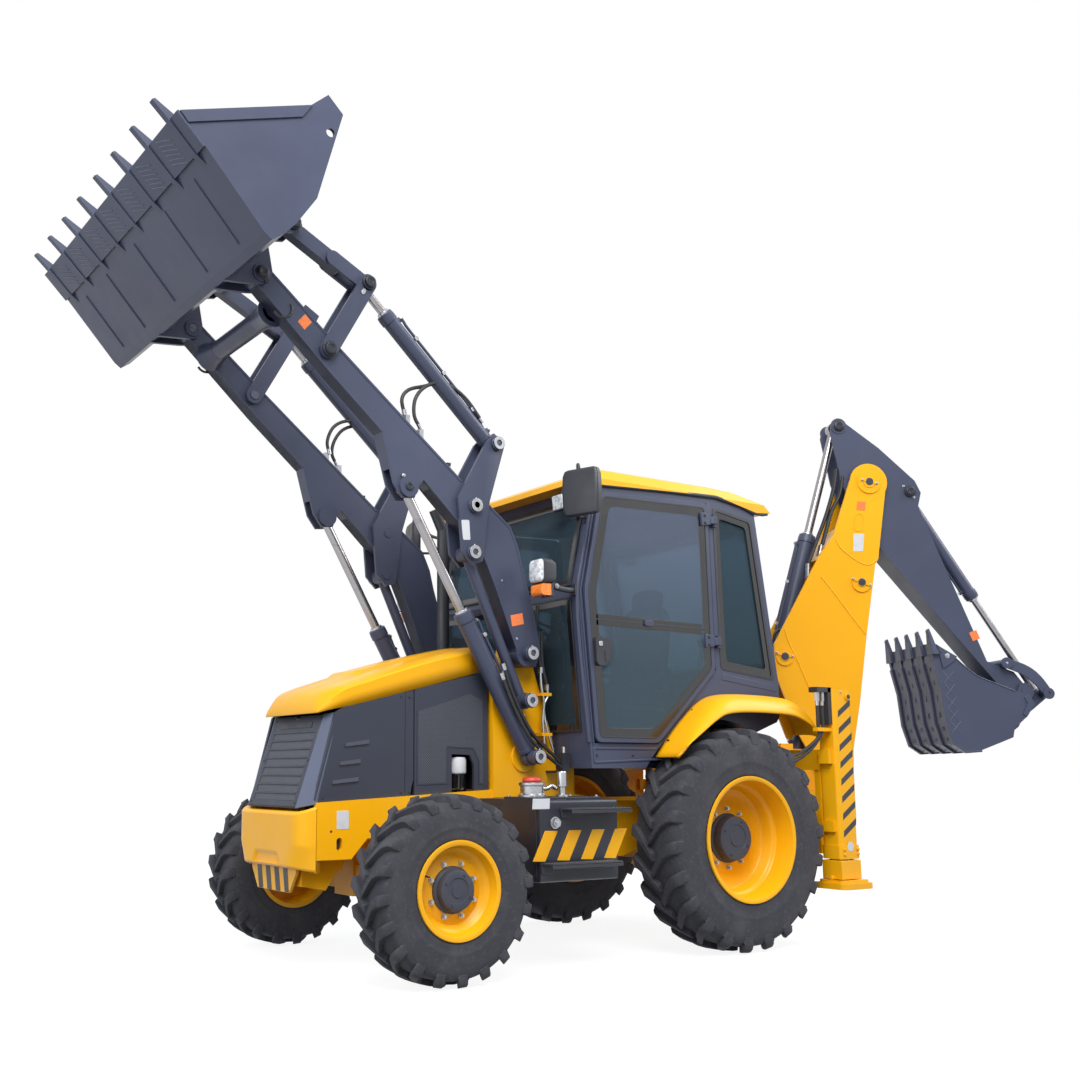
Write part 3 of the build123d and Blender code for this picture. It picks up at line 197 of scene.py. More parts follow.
def tinted(name, colour, low, through):
    """Window glass with a painted sky reflection: greyer and lighter high up, greener low down."""
    m = Mat(name, colour, 0.03)
    # painted reflection: colour is the sky's reflection at the top, and low is mixed in below it
    m.mix(m.height(1.7, 2.5), low, 0.85)
    m.feed(m.bsdf, {"Transmission Weight": through, "IOR": 1.1})
    return m


def tyre_rubber():
    """Rubber with two sizes of dusty patches."""
    m = mottled("tyre_rubber_look", (50, 51, 58), 0.85, (76, 75, 80), (6.0, 6, 0.45, 0.7), 0.55,
                grain=(130.0, 4, 0.35, 0.0015))
    m.mix(m.ramp(m.noise(45.0, 5), 0.55, 0.72), (98, 94, 94), 0.3)
    return m


def perforated(pitch):
    """Sheet with a staggered pattern of round holes painted near black as the shade seen through them, on an
    upright face that runs along x or y.
    """
    m = mottled("perforated_sheet_look", (66, 70, 82), 0.5, (76, 80, 93), (3.0, 4, 0.4, 0.7), 0.7)
    sep = m.node("SeparateXYZ", {0: m.place})
    wave = lambda src: m.math("SINE", m.math("MULTIPLY", src, 2 * pi / pitch), 0)
    level = lambda up, z: m.math("MULTIPLY", up, z)
    along, upward = wave(m.math("ADD", sep.outputs["X"], sep.outputs["Y"])), wave(sep.outputs["Z"])
    # near-black dots where the holes are: painted shade
    m.mix(m.ramp(level(along, upward), 0.15, 0.4), (16, 17, 20))
    m.bump(m.ramp(level(along, upward), 0.15, 0.4, 1.0, 0.0), 0.6, 0.002)
    return m


DULL = {"rough": (0.4, 0.55), "coat": 0.0}
FINISH = {    # finish: its look, and the record's material slot that it belongs to
    "yellow": (paint("yellow_paint_look", (240, 171, 8), (246, 181, 16), (196, 152, 70)), "yellow_paint"),
    "slate": (paint("slate_paint_look", (63, 68, 88), (77, 84, 107), (112, 112, 120)), "slate_paint"),
    "tank": (paint("slate_dark_look", (40, 42, 52), (48, 51, 62), (92, 90, 90)), "slate_paint"),
    "strip": (paint("corner_strip_look", (88, 94, 114), (100, 107, 128), (130, 130, 132)), "slate_paint"),
    "hub": (paint("hub_cap_look", (58, 61, 73), (70, 73, 86), (110, 100, 90), **DULL), "slate_paint"),
    "panel": (paint("panel_look", (52, 56, 68), (62, 66, 79), (104, 103, 102), **DULL), "black_parts"),
    "black": (mottled("black_cover_look", (38, 40, 47), 0.5, (54, 56, 64), (3.0, 4, 0.4, 0.7), 0.5,
                      sheen=(9.0, 4, 0.38, 0.6), grain=(420.0, 2, 0.12, 0.0006)), "black_parts"),
    "mesh": (perforated(0.014), "black_parts"),
    "frit": (mottled("glass_border_look", (20, 21, 25), 0.12, (30, 31, 36), (3.0, 3, 0.4, 0.7), 0.6, coat=0.6,
                     sheen=(5.0, 3, 0.08, 0.2)), "black_parts"),
    "hose": (mottled("hose_look", (30, 31, 36), 0.55, (52, 52, 56), (20.0, 3, 0.5, 0.7), 0.5,
                     grain=(300.0, 2, (1, 1, 0.2), 0.3, 0.0008)), "black_parts"),
    "fabric": (mottled("seat_fabric_look", (44, 45, 50), 0.9, (62, 63, 69), (300.0, 2, 0.4, 0.6), 0.8,
                       grain=(500.0, 2, 0.5, 0.001)), "black_parts"),
    "red": (mottled("red_cap_look", (196, 62, 44), 0.4, (160, 48, 36), (30.0, 4, 0.5, 0.7), 0.6),
            "black_parts"),
    "orange": (mottled("reflector_look", (238, 112, 40), 0.25, (252, 140, 62), (240.0, 2, 0.4, 0.6), 0.6,
                       coat=0.8),
               "yellow_paint"),
    "label": (mottled("blank_label_look", (202, 204, 208), 0.5, (188, 188, 188), (12.0, 4, 0.5, 0.7), 0.6),
              "yellow_paint"),
    "steel": (mottled("bright_steel_look", (176, 178, 182), 0.3, (112, 110, 108), (60.0, 4, 0.55, 0.75), 0.5,
                      metal=1.0, sheen=(30.0, 4, 0.22, 0.4)), "steel_pins"),
    "pin": (mottled("pin_steel_look", (84, 88, 102), 0.45, (40, 38, 38), (30.0, 5, 0.5, 0.7), 0.6, metal=0.85,
                    grain=(90.0, 3, 0.15, 0.001)), "steel_pins"),
    "chrome": (mottled("chrome_rod_look", (158, 156, 158), 0.22, (112, 106, 102),
                       (4.0, 4, (1, 1, 6), 0.55, 0.75), 0.5, metal=1.0, sheen=(16.0, 4, 0.18, 0.3)),
               "polished_rod"),
    "lens": (mottled("lamp_lens_look", (225, 228, 232), 0.12, (150, 155, 162), (45.0, 2, 0.45, 0.6), 0.7,
                     coat=1.0, grain=(80.0, 1, 0.5, 0.002)), "tinted_glass"),
    "amber": (mottled("amber_lens_look", (240, 118, 16), 0.15, (255, 150, 40), (60.0, 2, 0.4, 0.6), 0.6,
                      coat=1.0),
              "tinted_glass"),
    # two copies of one glass: the lighter one for the doors, and a darker one, painted shade, for the cab's
    # other windows
    "glass": (tinted("tinted_glass_look", (149, 161, 181), (112, 136, 148), 0.75), "tinted_glass"),
    "shade": (tinted("glass_painted_shade_look", (104, 126, 140), (92, 114, 124), 0.8), "tinted_glass"),
    "rubber": (tyre_rubber(), "tyre_rubber"),
}
SLOT_FINISH = {"yellow_paint": "yellow", "slate_paint": "slate", "black_parts": "black", "steel_pins": "pin",
               "polished_rod": "chrome", "tyre_rubber": "rubber", "tinted_glass": "glass"}
# cab_glass takes the darker glass copy, which is painted shade
NODE_FINISH = {"axles": "yellow", "knuckle_left": "yellow", "knuckle_right": "yellow", "cab_glass": "shade"}
for part in frame["record"]["subparts"]:
    node_name = part["node"]
    cad = frame["nodes"][node_name]
    if not cad.material_slots:
        cad.data.materials.append(None)
    for material_slot in cad.material_slots:
        material_slot.material = FINISH[NODE_FINISH.get(node_name, SLOT_FINISH[part["material_slot"]])][0].m


# ---------------------------------------------------------------- floor, backdrop and light
def seen_directly(nodes, links):
    """1 for rays that see the white backdrop (camera, mirrors, glass) and 0 for light on the object."""
    rays = nodes.new("ShaderNodeLightPath")
    out = rays.outputs["Is Camera Ray"]
    for kind in ("Is Glossy Ray", "Is Transmission Ray"):
        either = nodes.new("ShaderNodeMath")
        either.operation = "MAXIMUM"
        links.new(out, either.inputs[0])
        links.new(rays.outputs[kind], either.inputs[1])
        out = either.outputs[0]
    return out


white = D.materials.new("backdrop")
white.use_nodes = True
nodes, links = white.node_tree.nodes, white.node_tree.links
nodes["Principled BSDF"].inputs["Base Color"].default_value = (0.18, 0.18, 0.185, 1)
nodes["Principled BSDF"].inputs["Roughness"].default_value = 0.9
pick, add = nodes.new("ShaderNodeMixShader"), nodes.new("ShaderNodeAddShader")
links.new(seen_directly(nodes, links), pick.inputs["Fac"])
for slot_at, strength in ((1, 0.0), (2, 0.88)):
    glow = nodes.new("ShaderNodeEmission")
    glow.inputs["Strength"].default_value = strength
    links.new(glow.outputs[0], pick.inputs[slot_at])
links.new(nodes["Principled BSDF"].outputs[0], add.inputs[0])
links.new(pick.outputs[0], add.inputs[1])
links.new(add.outputs[0], nodes["Material Output"].inputs["Surface"])
mesh = D.meshes.new("floor")
bm = bmesh.new()
bmesh.ops.create_grid(bm, x_segments=2, y_segments=2, size=60)
bm.to_mesh(mesh)
floor = D.objects.new("floor", mesh)
floor.data.materials.append(white)
COLL.objects.link(floor)

world = D.worlds.new("world")
scene.world = world
world.use_nodes = True
nodes, links = world.node_tree.nodes, world.node_tree.links
sky, backdrop = nodes["Background"], nodes.new("ShaderNodeBackground")
for shader, colour, strength in ((sky, (0.80, 0.88, 1.0, 1), 0.55), (backdrop, (1, 1, 1, 1), 1.0)):
    shader.inputs["Color"].default_value = colour
    shader.inputs["Strength"].default_value = strength
mixer = nodes.new("ShaderNodeMixShader")
links.new(seen_directly(nodes, links), mixer.inputs["Fac"])
links.new(sky.outputs[0], mixer.inputs[1])
links.new(backdrop.outputs[0], mixer.inputs[2])
links.new(mixer.outputs[0], nodes["World Output"].inputs["Surface"])

for name, place, target, size, power, colour in (
        ("key", (4.5, 6.5, 9.0), (0, 0, 1.5), 6.0, 1150, (1.0, 0.98, 0.95)),
        ("fill", (8.0, 2.0, 4.0), (0.5, 0, 2.0), 6.0, 220, (0.92, 0.96, 1.0)),
        ("rim", (-6.0, 4.0, 7.0), (-1.0, 0, 2.0), 5.0, 420, (1, 1, 1))):
    data = D.lights.new(name, "AREA")
    data.energy, data.size, data.color = power, size, colour
    obj = D.objects.new(name, data)
    obj.location = place
    obj.rotation_euler = (Vector(target) - Vector(place)).to_track_quat("-Z", "Y").to_euler()
    COLL.objects.link(obj)


# ---------------------------------------------------------------- mesh pieces
BEVEL_FROM = radians(32)                                  # edges sharper than this are bevelled
LUG_DEPTH, LUG_ROOT = 0.034, 0.020                        # a lug's height, and how far inside it starts


def circle(c, axis, r, seg):
    """Points round c, square to axis."""
    u = axis.orthogonal().normalized()
    v = axis.cross(u)
    return [c + u * (r * cos(2 * pi * i / seg)) + v * (r * sin(2 * pi * i / seg)) for i in range(seg)]


class Shape:
    """Solids of one finish on one body, gathered into one object."""

    def __init__(self, name, body, finish):
        self.name, self.body, self.finish, self.bm = name, body, finish, bmesh.new()

    def loft(self, rings, ends=True, round=True, join=False):
        """A skin over rings of points: closed when round, with filled ends, or joined last to first."""
        rings = [[self.bm.verts.new(p) for p in ring] for ring in rings]
        n = len(rings[0])
        for a, b in zip(rings, rings[1:] + rings[:1] if join else rings[1:]):
            for i in range(n if round else n - 1):
                j = (i + 1) % n
                self.bm.faces.new((a[i], a[j], b[j], b[i]))
        if ends and not join:
            self.bm.faces.new(rings[0][::-1])
            self.bm.faces.new(rings[-1])

    def prism(self, place, outline, y0, y1):
        """A plate with an outline of (x, z) points in mm, from y0 to y1."""
        self.loft([[place(x, y, z) for x, z in outline] for y in (y0, y1)])

    def rim(self, place, outer, inner, y0, y1):
        """A flat ring between two outlines of as many points."""
        self.loft([[place(x, y, z) for x, z in line]
                   for line, y in ((outer, y0), (outer, y1), (inner, y1), (inner, y0))],
                  join=True)

    def box(self, place, x0, x1, y0, y1, z0, z1):
        self.prism(place, [(x0, z0), (x1, z0), (x1, z1), (x0, z1)], y0, y1)

    def cyl(self, p, q, r, r2=None, seg=28):
        axis = (q - p).normalized()
        self.loft([circle(p, axis, r, seg), circle(q, axis, r if r2 is None else r2, seg)])

    def turned(self, centre, axis, profile, seg=48):
        """A turned solid: profile of (radius, along) pairs in metres about an axis."""
        axis = Vector(axis).normalized()
        rings = [[self.bm.verts.new(centre + axis * along)] * seg if r < 1e-6 else
                 [self.bm.verts.new(p) for p in circle(centre + axis * along, axis, r, seg)]
                 for r, along in profile]
        for a, b in zip(rings, rings[1:]):
            for i in range(seg):
                j = (i + 1) % seg
                loop = list(dict.fromkeys((a[i], a[j], b[j], b[i])))
                if len(loop) > 2:
                    self.bm.faces.new(loop)

    def bolt(self, c, axis, r, h, washer=True):
        """A hexagon head on a washer."""
        axis = Vector(axis).normalized()
        if washer:
            self.cyl(c, c + axis * h * 0.25, r * 1.25, seg=20)
        self.cyl(c + axis * h * 0.25, c + axis * h, r, seg=6)
        self.cyl(c + axis * h, c + axis * h * 1.3, r * 0.55, seg=12)

    def bolts(self, place, y, points, axis, r, h):
        """Bolts at (x, z) points on an upright face."""
        for x, z in points:
            self.bolt(place(x, y, z), axis, r, h)

    def pipe(self, points, r, seg=12, step=6):
        """A round tube along a smooth line through the points."""
        line = smooth_line(points, step)
        rings, u = [], None
        for i, c in enumerate(line):
            d = (line[min(i + 1, len(line) - 1)] - line[max(i - 1, 0)]).normalized()
            u = d.orthogonal().normalized() if u is None else (u - d * u.dot(d)).normalized()
            v = d.cross(u)
            turns = [2 * pi * j / seg for j in range(seg)]
            rings.append([c + u * (r * cos(a)) + v * (r * sin(a)) for a in turns])
        self.loft(rings)

    def line(self, place, y, points, r, **shape):
        """A tube through (x, z) points on an upright face."""
        self.pipe([place(x, y, z) for x, z in points], r, **shape)

    def tube(self, place, points, r, **shape):
        """A tube through (x, y, z) points."""
        self.pipe([place(*p) for p in points], r, **shape)

    def wedge(self, place, y, *ends):
        """A four-sided solid about y; each end is its half width and two (x, z) edges."""
        self.loft([[place(x0, y - w, z0), place(x1, y - w, z1), place(x1, y + w, z1), place(x0, y + w, z0)]
                   for w, x0, z0, x1, z1 in ends])

    def ring_pin(self, place, at, y, r, hole, depth):
        """A round collar on a pin's end, open in the middle."""
        c, axis = place(at[0], y, at[1]), place(at[0], y + 1, at[1]) - place(at[0], y, at[1])
        self.turned(c, axis, [(hole, 0), (r, 0), (r, depth * 0.8), (r * 0.93, depth), (hole * 1.05, depth),
                              (hole, depth * 0.8), (hole, 0)], seg=32)

    def done(self, bevel=0.0, smooth=35.0, segments=2, thick=0.0):
        bmesh.ops.recalc_face_normals(self.bm, faces=self.bm.faces[:])
        mesh = D.meshes.new(self.name)
        self.bm.to_mesh(mesh)
        self.bm.free()
        obj = D.objects.new(self.name, mesh)
        COLL.objects.link(obj)
        look, slot = FINISH[self.finish]
        mesh.materials.append(look.m)
        if thick:
            mod = obj.modifiers.new("sheet", "SOLIDIFY")
            mod.thickness, mod.offset = thick, -1.0
        if bevel:
            mod = obj.modifiers.new("edges", "BEVEL")
            mod.width, mod.segments, mod.limit_method = bevel, segments, "ANGLE"
            mod.angle_limit = BEVEL_FROM
            mod.harden_normals = False
        for poly in mesh.polygons:
            poly.use_smooth = True
        mesh.set_sharp_from_angle(angle=radians(smooth))
        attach(obj, self.body)
        return obj


class Kit:
    """A group of details on one body: one object for each finish in it."""

    def __init__(self, name, body, bevel=0.0015):
        self.name, self.body, self.bevel, self.shapes = name, body, bevel, {}

    def __getitem__(self, finish):
        if finish not in self.shapes:
            self.shapes[finish] = Shape(self.name + "_" + finish, self.body, finish)
        return self.shapes[finish]

    def done(self, *nodes):
        made = {finish: shape.done(self.bevel) for finish, shape in self.shapes.items()}
        if nodes:
            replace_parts(next(iter(made.values())), *nodes)
        return made


def inset(points, amount):
    """The outline moved inward by amount."""
    n = len(points)
    area = sum(p[0] * q[1] - q[0] * p[1] for p, q in zip(points, points[1:] + points[:1]))
    hand = 1 if area > 0 else -1
    out = []
    for i in range(n):
        p, c, q = Vector(points[i - 1]), Vector(points[i]), Vector(points[(i + 1) % n])
        a, b = (c - p).normalized(), (q - c).normalized()
        na, nb = Vector((-a.y, a.x)) * hand, Vector((-b.y, b.x)) * hand
        bis = (na + nb).normalized()
        out.append(tuple(c + bis * (amount / max(0.35, bis.dot(na)))))
    return out


def rounded(points, radius, steps=4):
    """The outline with its corners rounded."""
    out, n = [], len(points)
    for i in range(n):
        p, c, q = Vector(points[i - 1]), Vector(points[i]), Vector(points[(i + 1) % n])
        a, b = (p - c), (q - c)
        reach = min(radius, a.length * 0.45, b.length * 0.45)
        a, b = c + a.normalized() * reach, c + b.normalized() * reach
        for k in range(steps + 1):
            t = k / steps
            out.append(tuple(a * (1 - t) ** 2 + c * (2 * t * (1 - t)) + b * t * t))
    return out


def oblong(x0, x1, z0, z1, radius, steps=4):
    """A rectangle with rounded corners."""
    return rounded([(x0, z0), (x1, z0), (x1, z1), (x0, z1)], radius, steps)


def smooth_line(points, step=6):
    """Points on a smooth line through the ones given."""
    pts = [Vector(p) for p in points]
    ext = [pts[0] * 2 - pts[1]] + pts + [pts[-1] * 2 - pts[-2]]
    line = []
    for k in range(len(pts) - 1):
        p0, p1, p2, p3 = ext[k:k + 4]
        for s in range(step):
            t = s / step
            line.append(0.5 * ((2 * p1) + (p2 - p0) * t + (2 * p0 - 5 * p1 + 4 * p2 - p3) * t * t +
                               (3 * p1 - p0 - 3 * p2 + p3) * t ** 3))
    return line + [pts[-1]]


# ---------------------------------------------------------------- wheels
def tyre(name, body, node, centre, radius, width, rim_r, lugs):
    """Tyre with a rounded carcass, sidewall rings and slanting tractor lugs over the shoulder."""
    s = Shape(name, body, "rubber")
    half, crown = width / 2, radius - LUG_DEPTH
    prof = [(rim_r, -0.80), (rim_r + 0.012, -0.91), (rim_r + 0.030, -0.965), (rim_r + 0.048, -0.955)]
    wall = crown - rim_r
    prof += [(rim_r + wall * f, -y) for f, y in ((0.34, 0.985), (0.37, 1.0), (0.40, 0.992), (0.55, 1.0),
                                                 (0.72, 0.985), (0.80, 0.965), (0.90, 0.92), (0.965, 0.80),
                                                 (0.99, 0.5), (1.0, 0.2))]
    prof += [(r, -y) for r, y in reversed(prof)]
    s.turned(centre, (0, 1, 0), [(r, y * half) for r, y in prof] + [(rim_r, -0.80 * half)], seg=96)
    pitch_a = 2 * pi / lugs
    # each lug: from just past the middle out over the shoulder and a little way down the side
    path = [(-0.06, 0.0, 1.0), (0.10, 0.16, 1.0), (0.30, 0.42, 1.0), (0.50, 0.66, 1.0), (0.70, 0.80, 0.995),
            (0.86, 0.86, 0.985), (0.955, 0.88, 0.955), (0.985, 0.89, 0.90), (0.985, 0.895, 0.85)]
    for hand in (1, -1):
        for i in range(lugs):
            base = i * pitch_a + (0 if hand > 0 else pitch_a / 2)
            rings = []
            for out, turn, share in path:
                wide = (0.30 + 0.16 * min(1, max(0, out))) * pitch_a
                on_wall = share <= 0.93
                top_r = radius * share
                low_r = top_r if on_wall else min(crown, top_r) - LUG_ROOT
                ring = []
                for da, rad in ((-0.5, low_r), (-0.40, top_r), (0.40, top_r), (0.5, low_r)):
                    y = hand * half * (0.90 if on_wall and abs(da) > 0.45 else out)
                    a = base + turn * pitch_a * 0.95 + da * wide
                    ring.append(centre + Vector((rad * cos(a), y, rad * sin(a))))
                rings.append(ring)
            s.loft(rings)
    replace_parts(s.done(bevel=0.004, smooth=40, segments=1), node)


# axle's x, middle's y, tyre's radius and width, rim's radius, lugs, disc's face, cap's radius and height,
# studs and their circle's radius
WHEELS = (("front", FRONT_X, 0.940, 0.484, 0.308, 0.235, 20, 0.074, 0.104, 0.062, 8, 0.140),
          ("rear", REAR_X, 0.857, 0.673, 0.378, 0.362, 22, -0.026, 0.135, 0.080, 10, 0.180))
for end, axle_x, mid_y, radius, width, rim_r, lugs, face, cap_r, cap_h, studs, stud_r in WHEELS:
    for side, hand, P, out in SIDES:
        name, body = end + "_" + side, "wheel_" + end + "_" + side
        centre = Vector((axle_x, MID.y + hand * mid_y, radius))
        tyre("tyre_tread_" + name, body, "tyre_" + name, centre, radius, width, rim_r, lugs)
        half, rim_in = width / 2, rim_r - 0.0005
        step, cap = face + 0.45 * (half * 0.80 - face), face + cap_h
        spot = lambda r, a, away: centre + Vector((r * cos(a), hand * away, r * sin(a)))
        s = Shape("rim_dish_" + name, body, "yellow")
        edge_in = [(-0.002, -0.90), (0.016, -0.96), (0.018, -1.0), (-0.006, -0.99), (-0.018, -0.80)]
        dish = [(-0.062, face - 0.004), (-0.050, face + 0.006), (-0.046, step - 0.012),
                (-0.036, step - 0.002), (-0.024, step + 0.004), (-0.019, step + 0.014)]
        edge_out = [(-0.019, 0.80), (-0.010, 0.90), (-0.008, 0.985), (0.004, 1.015), (0.017, 1.01),
                    (0.019, 0.96), (-0.002, 0.90), (-0.002, -0.90)]
        s.turned(centre, out, [(rim_in + r, half * y) for r, y in edge_in] +
                 [(rim_in - 0.018, face - 0.028), (0.062, face - 0.028), (0.062, face),
                  (stud_r + 0.030, face), (stud_r + 0.036, face - 0.006)] +
                 [(rim_in + r, y) for r, y in dish] + [(rim_in + r, half * y) for r, y in edge_out], seg=72)
        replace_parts(s.done(smooth=50), "rim_" + name)
        kit = Kit("wheel_hub_" + name, body, bevel=0)
        kit["hub"].turned(centre, out, [
            (0, face - 0.01), (cap_r + 0.016, face - 0.01), (cap_r + 0.016, face + 0.010),
            (cap_r + 0.006, face + 0.014), (cap_r, face + 0.018), (cap_r, cap - 0.014),
            (cap_r - 0.004, cap - 0.004), (cap_r - 0.014, cap), (cap_r * 0.62, cap),
            (cap_r * 0.60, cap - 0.004), (cap_r * 0.36, cap - 0.004), (cap_r * 0.34, cap), (0, cap)], seg=56)
        for i in range(studs):
            kit["steel"].bolt(spot(stud_r, 2 * pi * (i + 0.5) / studs, face), out, 0.011, 0.020)
        for i in range(4):
            kit["hub"].bolt(spot(cap_r * 0.8, 2 * pi * (i + 0.3) / 4, cap), out, 0.006, 0.005, washer=False)
        valve_a = 0.4
        valve = spot(rim_in - 0.03, valve_a, step + 0.02)
        inward = Vector((cos(valve_a), 0, sin(valve_a))) * 0.012
        kit["black"].cyl(valve, valve + out * 0.03 - inward, 0.005, 0.004, seg=12)
        kit.done()

# ---------------------------------------------------------------- hood
# x, side's lower edge, crease, shoulder, top, raised middle, half width
HOOD = ((1580, 1660, 1790, 1812, 1820, 1830, 412), (1907, 1574, 1710, 1728, 1738, 1754, 412),
        (2200, 1500, 1622, 1644, 1652, 1674, 412), (2262, 1484, 1602, 1624, 1633, 1660, 412),
        (2318, 1470, 1582, 1605, 1614, 1618, 412), (2440, 1440, 1545, 1566, 1574, 1577, 412),
        (2510, 1426, 1508, 1536, 1546, 1549, 400), (2560, 1414, 1460, 1496, 1512, 1518, 374),
        (2591, 1404, 1428, 1452, 1466, 1472, 348), (2604, 1400, 1410, 1418, 1424, 1428, 334))
rows = []
for x, low, crease, shoulder, top, bump, wide in HOOD:
    k = wide / 412
    rows.append([Vector((x, y, z)) for y, z in (
        (wide, low), (wide, low + (crease - low) * 0.6), (wide - 1, crease - 6), (wide - 9 * k, crease + 4),
        (wide - 60 * k, shoulder), (wide - 118 * k, top - 1), (196 * k, top + (3 if bump - top > 6 else 1)),
        (172 * k, top + 4), (148 * k, bump - 3), (134 * k, bump), (0, bump + 2))])
rings = []
for half_ring in zip(*[smooth_line(line, 5) for line in zip(*rows)]):
    rings.append([W(*p) for p in half_ring] + [W(p.x, -p.y, p.z) for p in half_ring[-2::-1]])
s = Shape("hood_shell", "hood", "yellow")
s.loft(rings, ends=False, round=False)
s.bm.faces.new([s.bm.verts.new(p) for p in rings[-1]])
bmesh.ops.remove_doubles(s.bm, verts=s.bm.verts[:], dist=0.0002)
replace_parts(s.done(smooth=28, thick=0.012), "hood")
kit = Kit("hood_hinge", "hood")
for y in (-284, 284):
    kit["yellow"].prism(W, [(1640, 1800), (1572, 1806), (1550, 1798), (1544, 1788), (1552, 1778),
                            (1572, 1772), (1640, 1745)], y - 7, y + 7)
    kit["steel"].bolt(W(1562, y + 7, 1790), Vector((0, 1, 0)), 0.010, 0.010)
# stiffening ribs under the sheet and a rubber seal along the lower edges
for x, z in ((1800, 1712), (2080, 1646), (2330, 1576)):
    kit["yellow"].box(W, x - 12, x + 12, -330, 330, z - 26, z)
for side, hand, P, out in SIDES:
    kit["black"].line(P, 398, ((1600, 1656), (1907, 1576), (2200, 1502), (2440, 1443)), 0.006, seg=8, step=2)
kit.done()

# ---------------------------------------------------------------- engine panels and grille
GILL_SHADE, SIDE_FACE = 11, 411                                 # height of the black strip painted as shade in a gill's mouth, and y of the outer face, mm
kit = Kit("engine_side", "root", 0.002)
for side, hand, P, out in SIDES:
    for outline, y in (
            ([(2085, 945), (2640, 916), (2650, 930), (2530, 1400), (2480, 1430), (2085, 1529)], 412),
            ([(2081, 946), (2081, 1530), (2026, 1543), (2026, 1035), (2040, 990), (2045, 948)], 409),
            ([(2020, 949), (2020, 1545), (1510, 1672), (1510, 976), (1612, 971), (1612, 1120), (1640, 1176),
              (1768, 1180), (1768, 962)], SIDE_FACE)):
        kit["panel"].prism(P, outline, 390, y)
    # perforated field of the rear part, in a shallow frame
    field = [(2004, 1004), (2004, 1430), (1640, 1544), (1542, 1500), (1542, 1008), (1580, 1006), (1580, 1140),
             (1620, 1212), (1796, 1218), (1802, 1010)]
    kit["mesh"].prism(P, inset(field, 6), 409, 412.5)
    kit["panel"].rim(P, field, inset(field, 9), 409, 414)
    for xa, za, xb, zb in ((2466, 1215, 2323, 1233), (2498, 1114, 2377, 1126), (2543, 1013, 2389, 1027)):
        # black strips under the gills: painted shade in their open mouths
        kit["black"].prism(P, [(xa, za - GILL_SHADE), (xb, zb - GILL_SHADE), (xb - 8, zb + 2), (xa - 4, za + 2)],
                           SIDE_FACE, SIDE_FACE + 2)
        kit["panel"].loft([
            [P(x, SIDE_FACE, z) for x, z in ((xa + 4, za + 2), (xb - 8, zb + 2), (xb - 8, zb + 26),
                                             (xa - 2, za + 22))],
            [P(xa + 2, 421, za + 1), P(xb - 4, 421, zb + 1), P(xb - 8, 412, zb + 24),
             P(xa - 2, 412, za + 20)]])
    latches = ((2052, 965), (2052, 1500), (2600, 940), (1530, 1640), (1530, 1000), (2110, 962), (2110, 1500))
    kit["black"].bolts(P, SIDE_FACE, latches, out, 0.006, 0.004)
    # fuel pre-filter in the cut-out: white cap on a dark bowl
    c = P(1698, 352, 0)
    kit["label"].turned(c, UP, [(0, 1.068), (0.054, 1.068), (0.058, 1.074), (0.058, 1.150), (0.052, 1.163),
                                (0, 1.165)], seg=32)
    kit["frit"].turned(c, UP, [(0, 0.976), (0.040, 0.976), (0.046, 0.984), (0.052, 1.060), (0.056, 1.068),
                               (0, 1.068)], seg=32)
    kit["black"].box(P, 1645, 1752, 270, 345, 1040, 1075)
    # lighter corner strips between grille and side
    corners = ((2716, 310, 884), (2548, 308, 1397), (2508, 411, 1406), (2648, 418, 906))
    kit["strip"].loft([[P(x - dx, y - dy, z) for x, y, z in corners] for dx, dy in ((0, 0), (24, 10))])
    kit["panel"].box(P, 1500, 1562, 230, 270, 1600, 1775)
    kit["steel"].cyl(P(1562, 230, 1790), P(1562, 297, 1790), 0.008)
    kit["panel"].cyl(P(1562, 232, 1790), P(1562, 272, 1790), 0.018)
# bulkhead behind, open round the exhaust pipe, and the floor of the nose
EXHAUST_Y, EXHAUST_Z, OPENING = -220, 1250, 36
beside, beyond = EXHAUST_Y - OPENING, EXHAUST_Y + OPENING
for y0, y1, z0, z1 in ((-385, beside, 976, 1640), (beyond, 385, 976, 1640),
                       (beside, beyond, 976, EXHAUST_Z - OPENING),
                       (beside, beyond, EXHAUST_Z + OPENING, 1640)):
    kit["panel"].box(W, 1512, 1536, y0, y1, z0, z1)
kit["panel"].box(W, 2380, 2650, -385, 385, 900, 930)
kit.done("engine_panels")


def on_grille(t, y, out=0.0):
    """A place on the leaning grille: share of the way up, y in mm, and how far it stands proud."""
    return W(2714 - 170 * t + out * 0.94, y, 888 + 510 * t + out * 0.33)


kit = Kit("grille", "root", 0.002)
GRILLE = [("panel", 0.0, 1.0, -308, 308, -30, -6), ("panel", 0.01, 0.99, -306, -262, -8, 0),
          ("panel", 0.01, 0.99, 262, 306, -8, 0), ("panel", 0.01, 0.07, -262, 262, -8, 0),
          ("panel", 0.80, 0.99, -262, 262, -8, 0), ("mesh", 0.07, 0.80, -262, 262, -8, -3)]
GRILLE += [("panel", 0.14 + i * 0.095, 0.14 + i * 0.095 + 0.022, -262, 262, -6, 2) for i in range(7)]
# bare name bar, lock
GRILLE += [("black", 0.855, 0.915, -200, 200, -2, 3), ("frit", 0.955, 0.985, -16, 16, -2, 4)]
for finish, t0, t1, y0, y1, low, high in GRILLE:
    kit[finish].loft([[on_grille(t0, y0, out), on_grille(t1, y0, out), on_grille(t1, y1, out),
                       on_grille(t0, y1, out)]
                      for out in (low, high)])
for y in (-288, 288):
    for t in (0.05, 0.5, 0.95):
        kit["black"].bolt(on_grille(t, y), (0.94, 0, 0.33), 0.006, 0.004)
kit.done()

